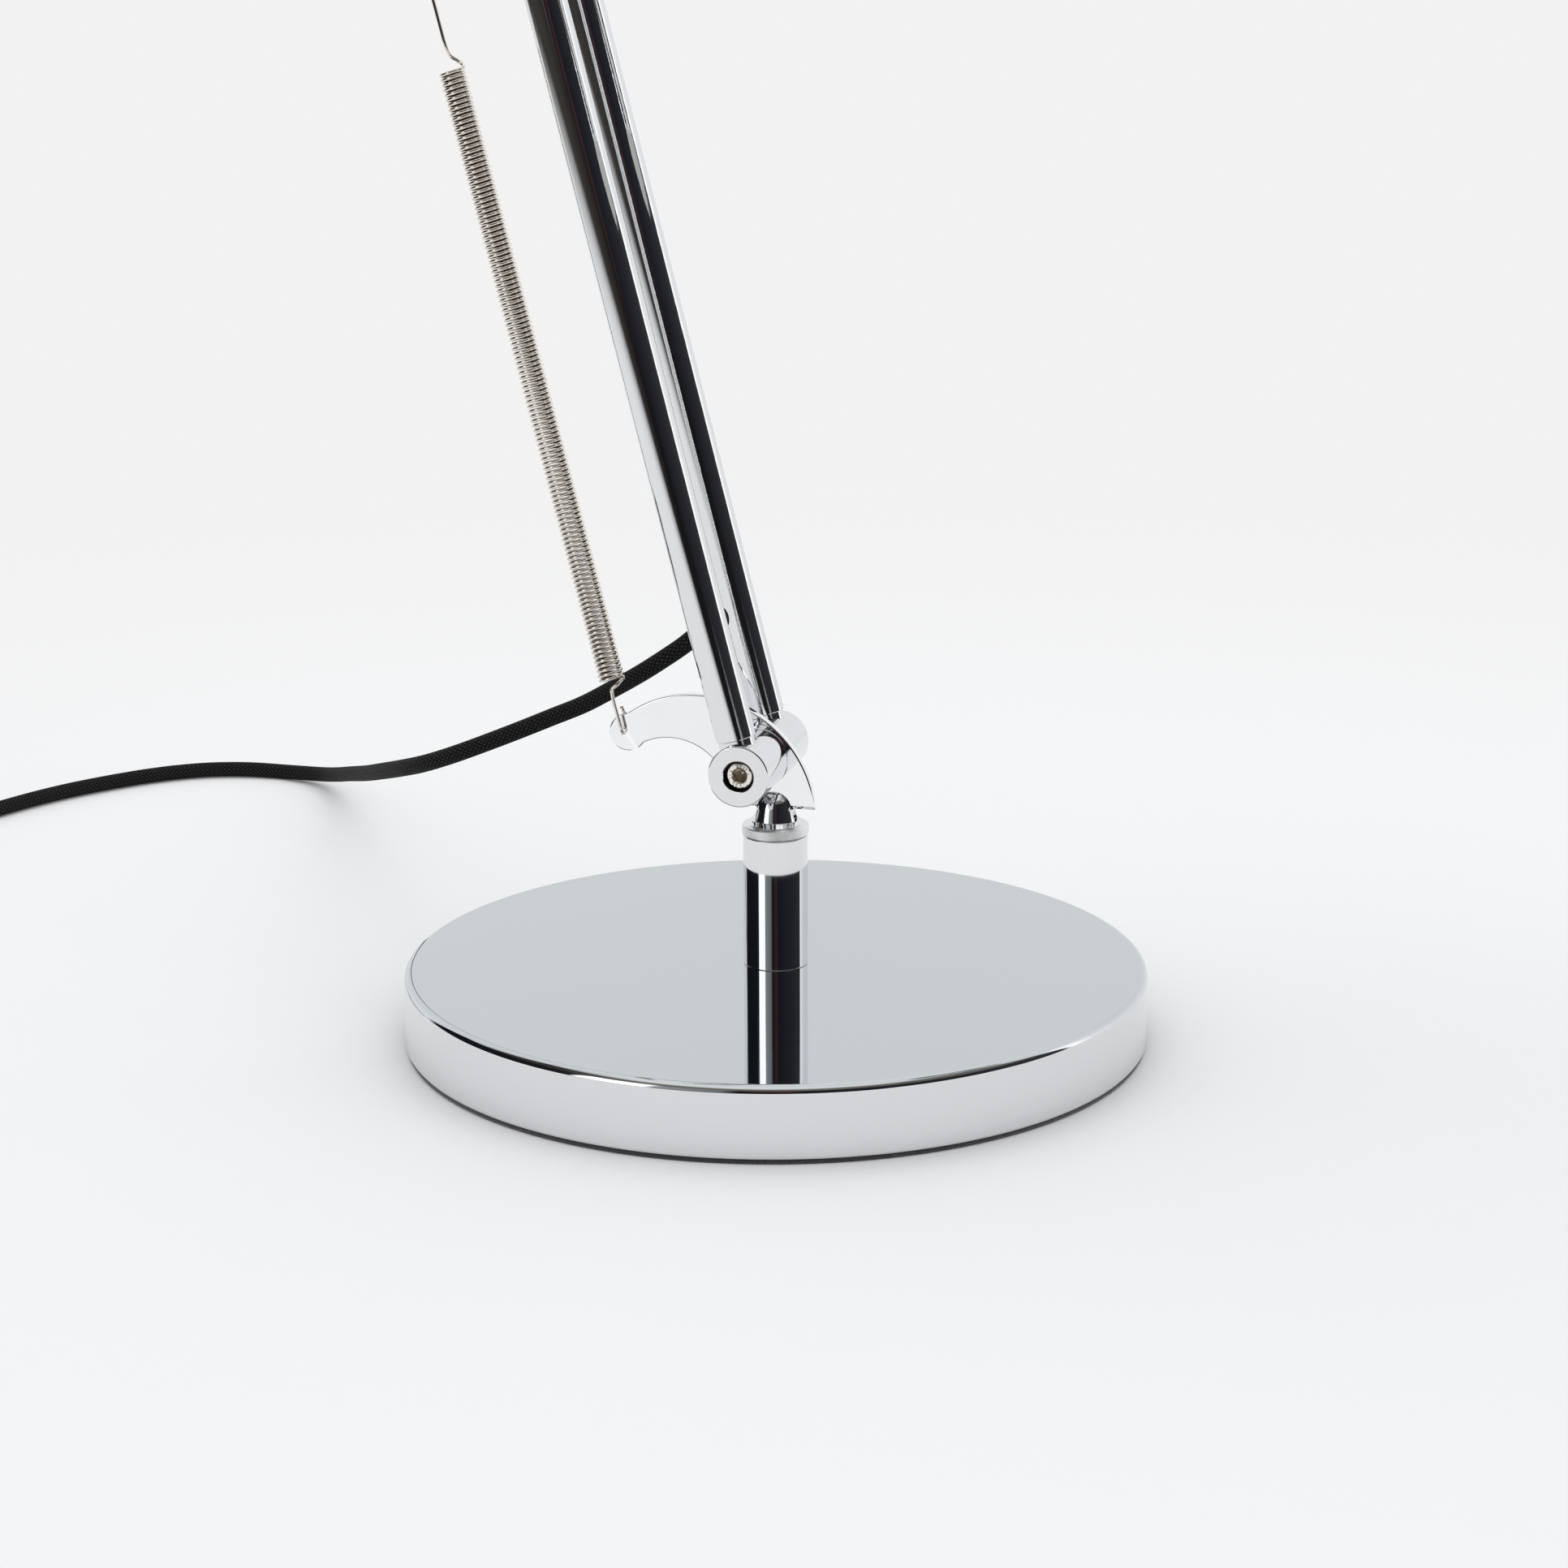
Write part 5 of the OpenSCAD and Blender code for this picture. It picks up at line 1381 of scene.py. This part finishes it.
def build_world():
    world = bpy.data.worlds.new("studio")
    bpy.context.scene.world = world
    world.use_nodes = True
    tree = world.node_tree
    tree.nodes.clear()
    way = add_node(tree, "TexCoord").outputs["Generated"]

    def towards(direction):
        return add_node(tree, "VectorMath", {0: way, 1: direction}, operation="DOT_PRODUCT").outputs["Value"]

    ahead = towards(Vector((0.2640, -0.9645, 0.0)))
    right = towards(Vector((0.9645, 0.2640, 0.0)))
    up = towards(Vector((0, 0, 1)))
    around = calculate(tree, "DIVIDE", calculate(tree, "ARCTAN2", right, ahead), FULL_TURN)
    place = calculate(tree, "ADD", around, 0.5)

    def band(stops):
        """Colours round the room, by degrees from the camera's place, with its left below 0."""
        return ramp(tree, place, [(degrees / 360 + 0.5, colour) for degrees, colour in stops])

    def above(start, steepness, below, upper):
        step = calculate(tree, "MULTIPLY", calculate(tree, "ADD", up, -start), steepness, clamp=True)
        mix = add_node(tree, "Mix", {"Factor": step, "A": below, "B": upper}, data_type="RGBA")
        return mix.outputs["Result"]

    def light(colour, strength=1.0):
        inputs = {"Color": colour, "Strength": strength}
        return add_node(tree, "Background", inputs).outputs["Background"]

    # At the table's height the room is dark in front, with one pale strip on the right
    low = band([
        (-180, (0.85, 0.86, 0.87)), (-120, (0.86, 0.87, 0.88)), (-108, (0.05, 0.045, 0.04)),
        (-50, (0.05, 0.046, 0.042)), (-20, (0.03, 0.026, 0.024)), (0, (0.01, 0.009, 0.009)),
        (30, (0.012, 0.011, 0.011)), (36, 0.8), (72, 0.8), (77, 0.04), (95, (0.045, 0.042, 0.04)),
        (99, (0.9, 0.9, 0.92)), (180, (0.85, 0.86, 0.87)),
    ])
    # A little above the table
    middle = band([
        (-180, (0.87, 0.88, 0.89)), (-129, (0.93, 0.96, 0.98)), (-124, (0.008, 0.008, 0.012)),
        (-70, (0.012, 0.012, 0.016)), (-63, (0.03, 0.03, 0.035)), (-61, 1.9), (-40, 1.9),
        (-37, (0.35, 0.37, 0.37)), (-17, (0.19, 0.21, 0.22)), (-12, (0.01, 0.01, 0.014)),
        (3, (0.055, 0.025, 0.026)), (8, (0.012, 0.013, 0.018)), (60, (0.025, 0.025, 0.03)),
        (95, (0.04, 0.04, 0.045)), (98, 1.5), (110, (1.0, 1.01, 1.02)), (128, (0.92, 0.93, 0.95)),
        (180, (0.87, 0.88, 0.89)),
    ])
    # Higher up the front of the room is a dull brown grey
    high = band([
        (-180, 1.0), (-128, 0.85), (-112, (0.05, 0.045, 0.04)), (-80, (0.05, 0.046, 0.04)),
        (-50, (0.2, 0.19, 0.165)), (90, (0.17, 0.16, 0.14)), (105, 0.9), (180, 1.0),
    ])
    round_room = above(0.0, 25.0, low, middle)
    upper_room = above(0.53, 14.0, round_room, high)
    room = above(0.8, 8.0, upper_room, WHITE)

    rays = add_node(tree, "LightPath").outputs
    lit = mix_shaders(tree, rays["Is Glossy Ray"], light((0.98, 0.99, 1.0, 1.0), 0.9), light(room))
    final = mix_shaders(tree, rays["Is Camera Ray"], lit, light(PALE))
    add_node(tree, "OutputWorld", {"Surface": final})


build_world()

LIT_SPOT = Vector((0, 0, 0.1))
for name, spot, size, watts in (
    ("overhead_softbox", (0.1, 0.2, 2.2), 2.4, 16),
    ("left_softbox", (-1.8, -0.3, 1.1), 1.2, 2),
    ("right_softbox", (1.8, -0.3, 1.3), 1.2, 3),
):
    data = bpy.data.lights.new(name, "AREA")
    data.shape = "SQUARE"
    data.size = size
    data.energy = watts
    lamp = new_object(name, data)
    lamp.matrix_world = facing(Vector(spot), LIT_SPOT)
    lamp.visible_glossy = False
    lamp.visible_camera = False

bpy.context.scene.view_settings.view_transform = "Standard"
